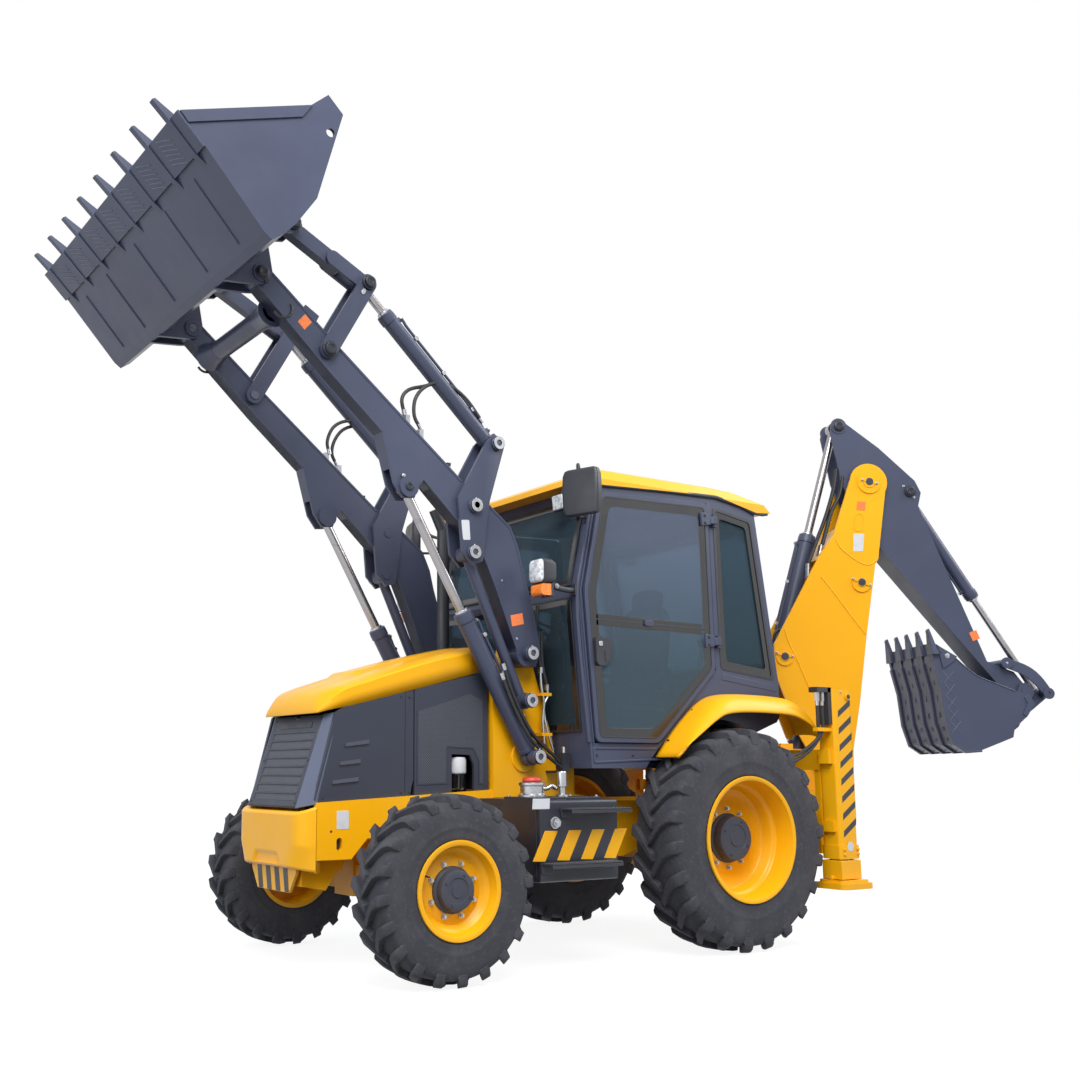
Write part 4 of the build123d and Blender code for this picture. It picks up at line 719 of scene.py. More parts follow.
# ---------------------------------------------------------------- front weight, axle bracket and frame marks
# x, half width, lower and upper edge, round the weight's front corner
PLAN = [(2646, 430, 545, 900), (2672, 423, 549, 893), (2700, 404, 555, 882), (2722, 378, 560, 874),
        (2734, 346, 562, 869), (2738, 306, 563, 868)]
ROUNDING = ((0, 30), (2, 16), (8, 6), (18, 0))            # height and setback of the edges' rounding
FACE_STEPS = 26


def smooth_step(v, low, high):
    t = min(1.0, max(0.0, (v - low) / (high - low)))
    return t * t * (3 - 2 * t)


def dent(y, z):
    """How deep the recess in the weight's face is: a low trapezoid open at its bottom."""
    half = 150 + (648 - min(648, z)) / 75 * 72
    return 13 * (1 - smooth_step(abs(y), half - 14, half)) * (1 - smooth_step(z, 632, 648))


def drawn_in(x, y, z, low):
    """The lower corners are cut slantwise: y draws in towards the bottom, most at the front."""
    return y * (1 - 0.17 * min(1.0, max(0.0, (low + 130 - z) / 110)) * max(0.0, x - 2646) / 92)


columns = []
for y in [row[1] for row in PLAN] + list(range(292, -293, -14)) + [-row[1] for row in reversed(PLAN)]:
    x, _, low, high = next((row for row in PLAN if row[1] == abs(y)), (2738, abs(y), 563, 868))
    turn = 0 if abs(y) < 300 else math.copysign(0.4, y)
    column = [(x - back, drawn_in(x - back, y - turn * back, low, low), low + up) for up, back in ROUNDING]
    for k in range(FACE_STEPS + 1):
        z = low + 22 + (high - low - 44) * k / FACE_STEPS
        column.append((x - dent(y, z), drawn_in(x, y, z, low), z))
    column += [(x - back, y - turn * back, high - down) for down, back in reversed(ROUNDING)]
    column += [(2646, y * 0.98, high), (2646, y * 0.98, low)]
    columns.append([W(*p) for p in column])
s = Shape("bumper_block", "root", "yellow")
s.loft(columns)
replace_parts(s.done(smooth=60), "front_weight")
kit = Kit("nose", "root", 0.002)
kit["yellow"].prism(across, [(-203, 430), (-286, 540), (-286, 566), (286, 566), (286, 540), (203, 430)],
                    2672, 2690)
for i in range(4):
    y = -196 + i * 112
    kit["black"].prism(across, [(max(-288, y - 16), 560), (y + 40, 560), (min(203, y + 70), 432),
                                (max(-203, y + 14), 432)], 2689, 2692)
kit["yellow"].prism(W, [(2650, 556), (2650, 466), (2500, 437), (2440, 531), (2400, 546), (2380, 612),
                        (2645, 612)],
                    -270, 270)
for side, hand, P, out in SIDES:
    kit["label"].prism(P, oblong(2447, 2522, 772, 871, 10), 427, 429.5)
    kit["black"].cyl(P(2555, 427, 762), P(2555, 429, 762), 0.007)
    kit["black"].prism(P, oblong(2489, 2519, 668, 718, 15), 396, 402)
kit.done()

# ---------------------------------------------------------------- side tanks
STEPS = ([(1469, 880), (1030, 880), (1037, 858), (1351, 845), (1407, 824), (1463, 830)],
         [(1606, 592), (1101, 590), (1101, 560), (1188, 550), (1507, 566), (1539, 536), (1606, 540)])
STRIPE_PITCH, TOOTH_PITCH, TANK_FACE, STEP_FACE = 165, 26, 1030, 1134
kit = Kit("side_tank", "root", 0.004)
for side, hand, P, out in SIDES:
    section = oblong(441.5, TANK_FACE, 490, 928, 24, 5)
    kit["tank"].loft([[P(x, y, z) for y, z in section] for x in (1060, 1606)])
    kit["tank"].box(P, 1604, 1610, 470, 1000, 520, 900)
    # shut lid, filler with its red cap, breather
    kit["tank"].box(P, 1120, 1600, 690, 965, 926, 941)
    for x, y in ((1140, 710), (1580, 710), (1140, 945), (1580, 945), (1360, 945), (1360, 710)):
        kit["steel"].bolt(P(x, y, 941), UP, 0.009, 0.008)
    c = P(1484, 800, 0)
    kit["steel"].turned(c, UP, [(0, 0.935), (0.080, 0.935), (0.080, 0.952), (0.066, 0.958), (0.066, 1.000),
                                (0.074, 1.004), (0.074, 1.018), (0.056, 1.024), (0, 1.024)], seg=36)
    kit["red"].turned(c, UP, [(0, 1.024), (0.052, 1.024), (0.056, 1.030), (0.050, 1.046), (0.018, 1.052),
                              (0, 1.052)], seg=36)
    for i in range(6):
        a = 2 * pi * i / 6
        kit["steel"].bolt(c + Vector((0.073 * cos(a), 0.073 * sin(a), 0.952)), UP, 0.006, 0.006)
    kit["steel"].pipe([P(1424, 800, 985), P(1390, 800, 985), P(1372, 805, 990), P(1352, 812, 1000),
                       P(1325, 815, 985)],
                      0.012)
    kit["steel"].turned(P(1282, 815, 0), UP, [
        (0, 0.935), (0.040, 0.935), (0.040, 0.950), (0.020, 0.955), (0.020, 0.992), (0.028, 0.996),
        (0.028, 1.076), (0.024, 1.082), (0, 1.082)], seg=30)
    # blank label, plug and warning stripes
    kit["label"].prism(P, [(1540, 880), (1657, 880), (1652, 936), (1536, 936)],
                       TANK_FACE - 0.5, TANK_FACE + 1)
    kit["steel"].bolt(P(1505, TANK_FACE, 806), out, 0.026, 0.026)
    for i in range(4):
        x = -STRIPE_PITCH * i
        kit["yellow"].prism(P, [(1573 + x, 764), (1485 + x, 763), (1574 + x, 602), (1658 + x, 606)],
                            TANK_FACE - 1, TANK_FACE + 1.5)
    # seam plate and foot steps with saw-tooth edges
    for outline in STEPS:
        kit["tank"].prism(P, outline, TANK_FACE - 2, TANK_FACE + 10)
        x0, x1 = min(x for x, z in outline) + 10, max(x for x, z in outline) - 4
        z = max(z for x, z in outline)
        kit["black"].box(P, x0, x1, STEP_FACE - 6, STEP_FACE, z - 22, z + 2)
        kit["black"].box(P, x0, x1, TANK_FACE + 4, STEP_FACE, z - 6, z)
        for k in range(5):
            kit["black"].box(P, x0, x1, 1042 + k * 18, 1046 + k * 18, z, z + 5)
        teeth = int((x1 - x0) / TOOTH_PITCH)
        for i in range(teeth):
            x = x0 + (i + 0.2) * (x1 - x0) / teeth
            kit["tank"].prism(P, [(x, z), (x + 14, z), (x + 7, z + 9)], STEP_FACE - 8, STEP_FACE)
            kit["tank"].prism(P, [(x, z), (x + 14, z), (x + 7, z + 7)], 1064, 1070)
kit.done("side_tanks")

# ---------------------------------------------------------------- rear fenders
CREST = [(520, 1170), (400, 1310), (270, 1430), (165, 1508), (60, 1550), (-100, 1564), (-420, 1558),
         (-560, 1532), (-650, 1466), (-700, 1390), (-720, 1320)]
LIP = [(560, 1165), (450, 1245), (330, 1325), (215, 1398), (110, 1440), (-90, 1454), (-400, 1448),
       (-530, 1426), (-640, 1374), (-690, 1322), (-712, 1290)]
# y, and how far the sheet has come down from crest to lip there
ROLL = ((771, 0.0), (800, -0.02), (860, 0.0), (905, 0.06), (942, 0.20), (972, 0.46), (990, 0.72), (999, 0.92),
        (1001, 1.0), (1000, 1.10))
crest, lip = ([*smooth_line([Vector((x, 0, z)) for x, z in line], 4)] for line in (CREST, LIP))
for side, hand, P, out in SIDES:
    s = Shape("fender_" + side, "root", "yellow")
    rings = []
    for a, b in zip(crest, lip):
        rings.append([P(a.lerp(b, share).x, y, a.lerp(b, share).z) for y, share in ROLL])
    s.loft(rings, ends=False, round=False)
    sheet = s.done(smooth=50, thick=0.012)
    if hand > 0:
        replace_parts(sheet, "rear_fenders")
    kit = Kit("fender_seat_" + side, "root")
    seat = ((440, 1255), (230, 1445), (-60, 1545), (-330, 1545), (-560, 1515))
    kit["black"].bolts(P, 800, [(x, z + 12) for x, z in seat], UP, 0.009, 0.006)
    kit.done()

# ---------------------------------------------------------------- loader arms, levers, links and cylinders
# pivots in the side view, as (x, z) in mm
ARM_PIVOT, TOWER_LINK, LIFT_BASE = (1319, 1774), (1329, 1494), (1274, 1166)
LEVER_PIVOT, LEVER_TOP, LEVER_LOW = (1716, 2624), (1550, 3024), (1726, 2344)
LIFT_EYE, BUCKET_PIN, TIP_PIN, TIP_TOP = (2154, 2689), (3105, 3750), (2686, 3400), (2440, 3842)
BUCKET_TOP = (2915, 4085)
# y of the arms' middle planes and outer faces, of the levers' outer faces, and of the tower's pipes, in mm
ARM_MID, ARM_FACE, LEVER_FACE, PIPE_Y = 501, 551, 577, 500
HOSE_R = 0.011


def spot(place, point, y):
    return place(point[0], y, point[1])


def edge_strip(points, thick, hand=1):
    """The outline of a strip of even thickness along a line of (x, z) points."""
    out = []
    for i, p in enumerate(points):
        d = (Vector(points[min(len(points) - 1, i + 1)]) - Vector(points[max(0, i - 1)])).normalized()
        out.append((p[0] - d.y * thick * hand, p[1] + d.x * thick * hand))
    return list(points) + out[::-1]


def along(p, q, t, off=0.0):
    """A point t mm from p towards q, off mm to the left of the line."""
    d = (Vector(q) - Vector(p)).normalized()
    return (p[0] + d.x * t - d.y * off, p[1] + d.y * t + d.x * off)


def bar_outline(p, q, width, steps=8):
    """A bar with round ends from p to q."""
    d = (Vector(q) - Vector(p)).normalized()
    a0 = math.atan2(d.y, d.x)
    turns = [(c, start + pi * k / steps) for c, start in ((q, a0 - pi / 2), (p, a0 + pi / 2))
             for k in range(steps + 1)]
    return [(c[0] + width / 2 * cos(a), c[1] + width / 2 * sin(a)) for c, a in turns]


def pin_face(kit, place, at, y, collar=None):
    """A pin's end: bright ring with a dark core, on an optional collar that begins at that y."""
    x, z = at
    if collar is not None:
        kit["slate"].ring_pin(place, at, collar, 0.0275, 0.043, (y - collar) / 1000 - 0.012)
    kit["steel"].ring_pin(place, at, y - 14, 0.020, 0.038, 0.018)
    kit["pin"].cyl(place(x, y - 13, z), place(x, y - 2, z), 0.0205)
    kit["steel"].cyl(place(x, y - 9, z + 36), place(x, y - 9, z + 47), 0.004, seg=10)


def dark_pin(kit, place, at, y, r=0.034, h=0.016):
    """A pin's end as a dark stepped nut."""
    c, axis = spot(place, at, y), spot(place, at, y + 10) - spot(place, at, y)
    kit["tank"].turned(c, axis, [(0, -0.002), (r * 1.25, -0.002), (r * 1.25, h * 0.4), (r * 1.1, h * 0.5),
                                 (r, h * 0.5), (r, h * 1.3), (r * 0.85, h * 1.5), (r * 0.45, h * 1.5),
                                 (r * 0.42, h * 1.3), (0, h * 1.3)], seg=30)


def cylinder_trim(kit, place, y, base, eye, end, r, rod_r, way, lip, ports, offs, pipe, clips, clip_r,
                  beside):
    """A barrel's collar, gland, ports, and a pipe in clips above it (way 1) or below it (way -1)."""
    at = lambda t, off=0.0, dy=0: spot(place, along(base, eye, t, way * off), y + dy)
    q = at(end - 60)
    d = (at(end) - q).normalized()
    kit["slate"].turned(q, d, [(r, 0)] + [(r + a, b) for a, b in lip] +
                        [(r + 0.003, 0.060), (r - 0.006, 0.066), (rod_r + 0.004, 0.066)], seg=36)
    kit["steel"].turned(q, d, [(rod_r + 0.0008, 0.064), (rod_r + 0.012, 0.064), (rod_r + 0.010, 0.078),
                               (rod_r + 0.0008, 0.080)], seg=32)
    for t in ports:
        a, b, c = (at(t, off) for off in offs)
        kit["slate"].cyl(a, b, 0.017, seg=16)
        kit["steel"].cyl(b, c, 0.013, seg=6)
    pipe_y, clip_y0, clip_y1 = beside
    kit["slate"].pipe([at(t, off, pipe_y) for t, off in pipe], 0.009, seg=10, step=3)
    for t in clips:
        kit["steel"].cyl(at(t, pipe[-1][1], clip_y0), at(t, pipe[-1][1], clip_y1), clip_r, seg=10)


ARM_EDGES = ([(1784, 2772), (2620, 3441), (3051, 3800)], [(3120, 3690), (2667, 3274), (2330, 2985)],
             [(2050, 2740), (1857, 2560), (1675, 2400), (1616, 2297), (1545, 2144), (1474, 1971),
              (1403, 1798)],
             [(1222, 1798), (1253, 1966), (1301, 2134), (1349, 2291), (1378, 2410), (1435, 2532),
              (1534, 2608), (1610, 2666)])
LEVER = [(1488, 3034), (1570, 3086), (1620, 3034), (1830, 2660), (1800, 2345), (1726, 2270), (1655, 2300),
         (1605, 2660)]
for side, hand, P, out in SIDES:
    kit = Kit("arm_trim_" + side, "arms")
    for points in ARM_EDGES:
        kit["slate"].prism(P, edge_strip(points, 14, -1), 447, 554.5)
    for quad in ([(2826, 3582), (2870, 3530), (2828, 3490), (2784, 3543)],
                 [(1441, 1996), (1352, 2016), (1342, 1950), (1430, 1930)]):
        kit["orange"].prism(P, quad, 550, 552.5)
    # weld round the torque tube's end, tab on the top edge, hose clamp
    weld = [(2965 + 58 * cos(a), 3592 + 58 * sin(a)) for a in (radians(150 + 22 * k) for k in range(9))]
    kit["tank"].line(P, 552, weld, 0.008, seg=8, step=2)
    kit["slate"].prism(P, [(2822, 3640), (2736, 3590), (2752, 3558), (2838, 3612)], 528, 548)
    kit["steel"].box(P, 1846, 1880, 505, 525, 2836, 2862)
    kit["hose"].box(P, 1850, 1876, 496, 534, 2858, 2874)
    pin_face(kit, P, LEVER_PIVOT, 608)
    kit["slate"].ring_pin(P, LEVER_PIVOT, 577.5, 0.0275, 0.044, 0.016)
    dark_pin(kit, P, LIFT_EYE, ARM_FACE, 0.026)
    kit["tank"].prism(P, bar_outline(LIFT_EYE, (2190, 2748), 26), ARM_FACE, 560)
    kit["steel"].bolt(P(2190, 560, 2748), out, 0.010, 0.009)
    kit["steel"].bolts(P, ARM_FACE, ((1395, 1860), (1500, 2200)), out, 0.006, 0.005)
    kit.done()

    kit = Kit("tower_pins_" + side, "root")
    for at, collar in ((ARM_PIVOT, 556), (TOWER_LINK, 545), (LIFT_BASE, 535)):
        pin_face(kit, P, at, 610, collar)
        kit["tank"].ring_pin(P, at, 452, 0.0275, 0.0290, 0.15)
    # doubler rings pressed in the tower's plate
    for at, r in ((LIFT_BASE, 0.092), (TOWER_LINK, 0.066)):
        kit["yellow"].turned(spot(P, at, 441), out, [(0.03, 0), (r, 0), (r, 0.008), (r - 0.004, 0.011),
                                                     (0.03, 0.011)])
    kit.done()

    kit = Kit("lever_trim_" + side, "levers")
    pin_face(kit, P, LEVER_LOW, 604, 577.5)
    kit["label"].prism(P, rounded([(1808, 2530), (1752, 2535), (1744, 2416), (1796, 2412)], 8, 2),
                       LEVER_FACE - 0.5, LEVER_FACE + 1.5)
    kit["slate"].loft([[P(x, y, z) for x, z in line]
                       for y, line in ((LEVER_FACE, rounded(LEVER, 46)),
                                       (LEVER_FACE + 1, rounded(inset(LEVER, 7), 40)))])
    kit.done()
    kit = Kit("tilt_base_trim_" + side, "tilt_base_pins")
    pin_face(kit, P, LEVER_TOP, 604, 582)
    kit.done()
    kit = Kit("bucket_pin_trim_" + side, "bucket_pins")
    dark_pin(kit, P, BUCKET_PIN, 587, 0.032)
    kit["tank"].prism(P, bar_outline(BUCKET_PIN, (3075, 3700), 24), 589, 596)
    kit.done()
    kit = Kit("link_pin_trim_" + side, "link_pins")
    dark_pin(kit, P, TIP_PIN, 583, 0.036, 0.020)
    kit.done()
    kit = Kit("tip_link_trim_" + side, "tip_links")
    dark_pin(kit, P, TIP_TOP, 583, 0.034, 0.018)
    kit["steel"].prism(P, bar_outline(along(TIP_TOP, TIP_PIN, 60), along(TIP_TOP, TIP_PIN, 78), 22),
                       LEVER_FACE, 583)
    kit.done()

    for name, base, eye, end, r, rod_r in (("lift", LIFT_BASE, LIFT_EYE, 957, 0.052, 0.028),
                                           ("tilt", LEVER_TOP, TIP_TOP, 1010, 0.046, 0.025)):
        kit = Kit(name + "_cylinder_trim_" + side, name + "_barrels", 0.0012)
        off = r * 1000 + 15
        cylinder_trim(kit, P, ARM_MID, base, eye, end, r, rod_r, 1,
                      ((0.005, 0.004), (0.005, 0.040), (0.003, 0.052)), (78, end - 84), (38, 66, 76),
                      ((end - 84, 70), (end - 120, off + 4), (end - 190, off), (300, off), (190, off)),
                      (240, 520, 780), 0.014, (14, 4, 26))
        kit["slate"].cyl(*(spot(P, along(base, eye, t), ARM_MID) for t in (42, 66)), r + 0.003, seg=36)
        kit.done()

# flares where the torque tube meets the arms
kit = Kit("torque_tube_flare", "arms", 0)
for side, hand, P, out in SIDES:
    kit["slate"].turned(P(2975, 452, 3600), -out, [(0.040, 0), (0.090, 0), (0.087, 0.012), (0.076, 0.05),
                                                   (0.068, 0.11), (0.0612, 0.17)], seg=40)
kit.done()

# hoses: held ones run whole between their fittings
TILT_HOSES = {
    "left": ([(2142, 3128), (2161, 3223), (2115, 3287), (2012, 3326), (1891, 3365), (1760, 3327),
              (1660, 3229), (1572, 3110)],
             [(2050, 3052), (2095, 3123), (2091, 3221), (2036, 3301), (1940, 3353), (1842, 3348),
              (1727, 3283), (1612, 3160)]),
    "right": ([(2124, 3113), (2142, 3195), (2102, 3294), (2017, 3351), (1897, 3365), (1765, 3325),
               (1665, 3225), (1578, 3115)],
              [(2050, 3052), (2090, 3130), (2070, 3225), (2000, 3310), (1880, 3345), (1745, 3290),
               (1620, 3165)])}
LIFT_HOSES = (
    (572, ((1500, 1668), (1440, 1520), (1330, 1335), (1235, 1240), (1150, 1176), (1092, 1130), (1072, 1160))),
    (588, ((1522, 1610), (1452, 1462), (1352, 1298), (1262, 1210), (1175, 1150), (1105, 1106), (1075, 1100))),
    (560, ((1478, 1560), (1420, 1440), (1345, 1330), (1290, 1290), (1250, 1250), (1230, 1215))))
kit = Kit("tilt_hoses", "tilt_barrels", 0)
for side, hand, P, out in SIDES:
    for y, line in zip((487, 519), TILT_HOSES[side]):
        kit["hose"].line(P, y, line, HOSE_R)
        for first, second in ((line[0], line[1]), (line[-1], line[-2])):
            kit["steel"].cyl(spot(P, first, y), spot(P, along(first, second, 34), y), 0.014, seg=16)
kit.done()
kit = Kit("arm_hose_ports", "arms", 0)
for side, hand, P, out in SIDES:
    for x, z in ((2142, 3062), (2050, 2990)):
        kit["steel"].box(P, x - 14, x + 14, 484, 526, z - 8, z + 60)
kit.done()
kit = Kit("lift_hoses", "lift_barrels", 0)
for side, hand, P, out in SIDES:
    for y, line in LIFT_HOSES:
        kit["hose"].line(P, y, line, HOSE_R)
        (xa, za), (xb, zb) = line[:2]
        kit["steel"].cyl(P(xa, y, za), P(xa + (xa - xb) * 0.25, y, za + (za - zb) * 0.25), 0.014, seg=16)
kit.done()
kit = Kit("tower_pipes", "root", 0)
for side, hand, P, out in SIDES:
    kit["black"].box(P, 1048, 1104, 556, 600, 1080, 1190)
    kit["steel"].cyl(P(1076, 578, 1190), P(1076, 578, 1226), 0.013, seg=16)
    kit["black"].box(P, 1040, 1110, 441, 560, 1072, 1086)
    for finish, r, line in (
            ("steel", 0.009, ((1183, 1679), (1176, 1575), (1160, 1493), (1170, 1383), (1160, 1246))),
            ("steel", 0.009, ((1137, 1577), (1129, 1535), (1160, 1465), (1145, 1356), (1095, 1205))),
            ("hose", HOSE_R, ((1199, 2077), (1211, 1960), (1211, 1879), (1192, 1760), (1179, 1686))),
            ("hose", HOSE_R, ((1166, 1924), (1174, 1800), (1162, 1690), (1133, 1590)))):
        kit[finish].line(P, PIPE_Y, line, r)
    for x, z in ((1183, 1684), (1137, 1582)):
        kit["steel"].cyl(P(x, PIPE_Y, z - 16), P(x, PIPE_Y, z + 18), 0.015, seg=6)
    for z in (1300, 1540):
        kit["yellow"].box(P, 1110, 1186, 441, 512, z - 9, z + 9)
kit.done()

# ---------------------------------------------------------------- loader bucket
EDGE_TOP, EDGE_LOW, FLOOR_END = (3808, 4197), (3672, 4059), (3350, 3697)
LIP_LENGTH = (Vector(EDGE_LOW) - Vector(EDGE_TOP)).length
BEAD_GROUPS, EDGE_HALF = 7, 1054


def under(t, out=0.0):
    """A place on the bucket's underside: t mm from the cutting edge, out mm proud of it."""
    if t < LIP_LENGTH:
        return along(EDGE_TOP, EDGE_LOW, t, out)
    return along(EDGE_LOW, FLOOR_END, t - LIP_LENGTH, out)


kit = Kit("bucket_edge", "loader_bucket", 0.002)
# cutting edge plate over the floor's front with groups of slanting beads, and seams behind it
kit["slate"].prism(W, [under(-6), under(196), under(196, 14), under(-6, 14)], -1160, 1160)
for i in range(BEAD_GROUPS):
    y = -EDGE_HALF + (i + 0.5) * 2 * EDGE_HALF / BEAD_GROUPS
    for k in range(6):
        (xa, za), (xb, zb) = under(14 + k * 26, 15), under(62 + k * 26, 15)
        kit["strip"].pipe([W(xa, y - 62, za), W((xa + xb) / 2, y + 8, (za + zb) / 2), W(xb, y + 66, zb)],
                          0.0035, seg=6, step=2)
for y in (-904, -504, -5, 480, 900):
    kit["slate"].line(W, y, [under(t, 2) for t in (262, 400, 540, 640)], 0.006, seg=8, step=2)
# doublers on the hinge ears, pin ends and a weld along the side's upper edge
for side, hand, P, out in SIDES:
    for y, way in ((419, -1), (583, 1)):
        kit["slate"].turned(spot(P, BUCKET_PIN, y), out * way,
                            [(0.030, 0), (0.052, 0), (0.052, 0.005), (0.030, 0.006)], seg=36)
    dark_pin(kit, P, BUCKET_TOP, 583, 0.032)
    kit["slate"].line(P, 1158, ((3114, 4434), (3450, 4314), (3798, 4190)), 0.004, seg=8, step=2)
kit.done()

# ---------------------------------------------------------------- backhoe
BOOM_CYL_BASE, BOOM_TIP, BOOM_CYL_EYE, DIPPER_BASE = (60, 1190), (-535, 3205), (-437, 2448), (159, 1901)
DIPPER_EYE, HOE_CYL_BASE, HOE_LINK, HOE_END = (-347, 3645), (-862, 3148), (-1480, 1860), (-1780, 1640)
BOOM_FACE, DIPPER_FACE, HOE_SIDE = 160, 110, 374          # y of the outer faces, in mm
kit = Kit("boom_trim", "boom")
for P, out in HOE_SIDES:
    for (x, z), keys in ((BOOM_TIP, ((52, 14), (-54, -12))), (BOOM_CYL_EYE, ((66, 26), (-60, -20))),
                         (DIPPER_BASE, ((60, 26), (-56, 2)))):
        kit["pin"].cyl(P(x, 174, z), P(x, 178, z), 0.029)
        kit["black"].cyl(P(x, 178, z), P(x, 180, z), 0.022)
        for dx, dz in keys:
            kit["yellow"].prism(P, bar_outline((x + dx * 0.55, z + dz * 0.55), (x + dx, z + dz), 20, 4),
                                172, 177)
            kit["steel"].bolt(P(x + dx, 177, z + dz), out, 0.008, 0.008)
    for line in (((152, 2105), (120, 2000), (60, 1860), (-18, 1660)),
                 ((-139, 2490), (-230, 2370), (-350, 2200), (-448, 2068)),
                 ((-262, 2772), (-300, 2700), (-420, 2606), (-500, 2580), (-556, 2610))):
        kit["yellow"].line(P, BOOM_FACE + 0.5, line, 0.0045, seg=8, step=4)
    kit["yellow"].cyl(spot(P, BOOM_TIP, 140), spot(P, BOOM_TIP, 160.4), 0.139, seg=64)
    kit["orange"].prism(P, [(-505, 3056), (-440, 3056), (-430, 2992), (-494, 2988)], BOOM_FACE, BOOM_FACE + 2)
    loop = bar_outline((-452, 2936), (-438, 2860), 66)
    kit["yellow"].rim(P, loop, inset(loop, 6), BOOM_FACE, BOOM_FACE + 3.5)
    kit["label"].prism(P, rounded([(-478, 2812), (-398, 2812), (-388, 2678), (-462, 2678)], 8, 2), BOOM_FACE,
                       BOOM_FACE + 2)
# hoses up the boom to the dipper's cylinders, and their fittings
for y in (96, 70):
    kit["hose"].line(H, y, ((-72, 2590), (-110, 2680), (-160, 2800), (-215, 2930), (-262, 3060), (-300, 3190),
                            (-322, 3320)), HOSE_R)
    kit["hose"].tube(H, ((-178, y + 26, 2735), (-215, y + 26, 2850), (-262, y + 24, 2990),
                         (-330, y + 20, 3120), (-360, y + 16, 3260)), HOSE_R)
for xa, za, xb, zb in ((-64, 2482, -72, 2596), (-114, 2499, -180, 2740)):
    for y in (96, 70):
        kit["steel"].cyl(H(xa, y, za), H(xb, y, zb), 0.013, seg=14)
        kit["steel"].cyl(H(xa, y, za), H(xa + (xb - xa) * 0.2, y, za + (zb - za) * 0.2), 0.018, seg=6)
kit.done()

BOOM_HOSES = ((86, ((100, 1490), (150, 1640), (196, 1800), (212, 1960), (196, 2080), (120, 2110), (40, 2060),
                    (-10, 1960), (-30, 1850))),
              (60, ((60, 1500), (110, 1680), (150, 1830), (160, 1930), (120, 1990), (50, 1960), (0, 1880),
                    (-26, 1790))))
for name, base, eye, end, r, rod_r, way, hoses in (
        ("boom", BOOM_CYL_BASE, BOOM_CYL_EYE, 780, 0.060, 0.032, -1, BOOM_HOSES),
        ("dipper", DIPPER_BASE, DIPPER_EYE, 960, 0.057, 0.030, -1, ()),
        ("hoe_bucket", HOE_CYL_BASE, HOE_END, 923, 0.045, 0.024, 1, ())):
    kit = Kit(name + "_cylinder_trim", name + "_cylinder_barrel", 0.001)
    off = r * 1000 + 13
    cylinder_trim(kit, H, 0, base, eye, end, r, rod_r, way, ((0.006, 0.004), (0.006, 0.044), (0.003, 0.050)),
                  (85, end - 80), (45, off + 3, off + 15),
                  ((end - 84, off + 6), (end - 130, off), (300, off), (200, off)), (250, 0.6 * end), 0.013,
                  (12, 2, 24))
    for y, line in hoses:
        kit["hose"].line(H, y, line, HOSE_R)
    kit.done()

kit = Kit("dipper_trim", "dipper")
down = (Vector((-1364, 1877)) - Vector((-921, 3033))).normalized()
square = Vector((-down.y, down.x))
corners = ((34, 30), (34, -30), (-34, -30), (-34, 30))
reflector = [tuple(Vector((-1283, 2066)) + down * a + square * b) for a, b in corners]
turns = [radians(a) for a in range(200, 345, 16)]
head_seam = [(BOOM_TIP[0] + 118 * cos(a), BOOM_TIP[1] + 118 * sin(a)) for a in turns]
for P, out in HOE_SIDES:
    dark_pin(kit, P, HOE_CYL_BASE, 120, 0.034, 0.012)
    keys = ((42.9, 39), (-31.2, -46.8))
    kit["steel"].bolts(P, 111, [(HOE_CYL_BASE[0] + dx, HOE_CYL_BASE[1] + dz) for dx, dz in keys], out,
                       0.008, 0.010)
    dark_pin(kit, P, DIPPER_EYE, DIPPER_FACE, 0.036, 0.016)
    kit["slate"].turned(spot(P, DIPPER_EYE, 109), out, [(0.03, 0), (0.060, 0), (0.060, 0.006), (0.03, 0.006)])
    kit["orange"].prism(P, reflector, DIPPER_FACE, DIPPER_FACE + 2)
    kit["slate"].line(P, DIPPER_FACE, head_seam, 0.004, seg=8, step=2)
    kit["slate"].ring_pin(P, HOE_LINK, 158, 0.010, 0.040, 0.018)
    kit["steel"].bolt(spot(P, HOE_LINK, 170), out, 0.010, 0.008)
kit.done()

# the links that tip the hoe's bucket are bowed plates
kit = Kit("hoe_lever", "hoe_lever_links", 0.002)
a, b = Vector(HOE_LINK), Vector(HOE_END)
u = (b - a).normalized()
n = Vector((u.y, -u.x))
shares, turns = [k / 10 for k in range(11)], [radians(w) for w in range(20, 170, 25)]
bow = [a + (b - a) * t + n * (38 + 46 * sin(pi * t)) for t in shares]
bow += [b + u * (36 * sin(w)) + n * (36 * cos(w)) for w in turns]
bow += [a + (b - a) * t + n * (-34 + 40 * sin(pi * t)) for t in reversed(shares)]
bow += [a - u * (36 * sin(w)) - n * (36 * cos(w)) for w in turns]
for P, out in HOE_SIDES:
    kit["slate"].prism(P, bow, 142, 158)
    kit["slate"].ring_pin(P, HOE_END, 156, 0.012, 0.040, 0.014)
    kit["pin"].cyl(spot(P, HOE_END, 40), spot(P, HOE_END, 164), 0.028)
kit.done("hoe_lever_links")

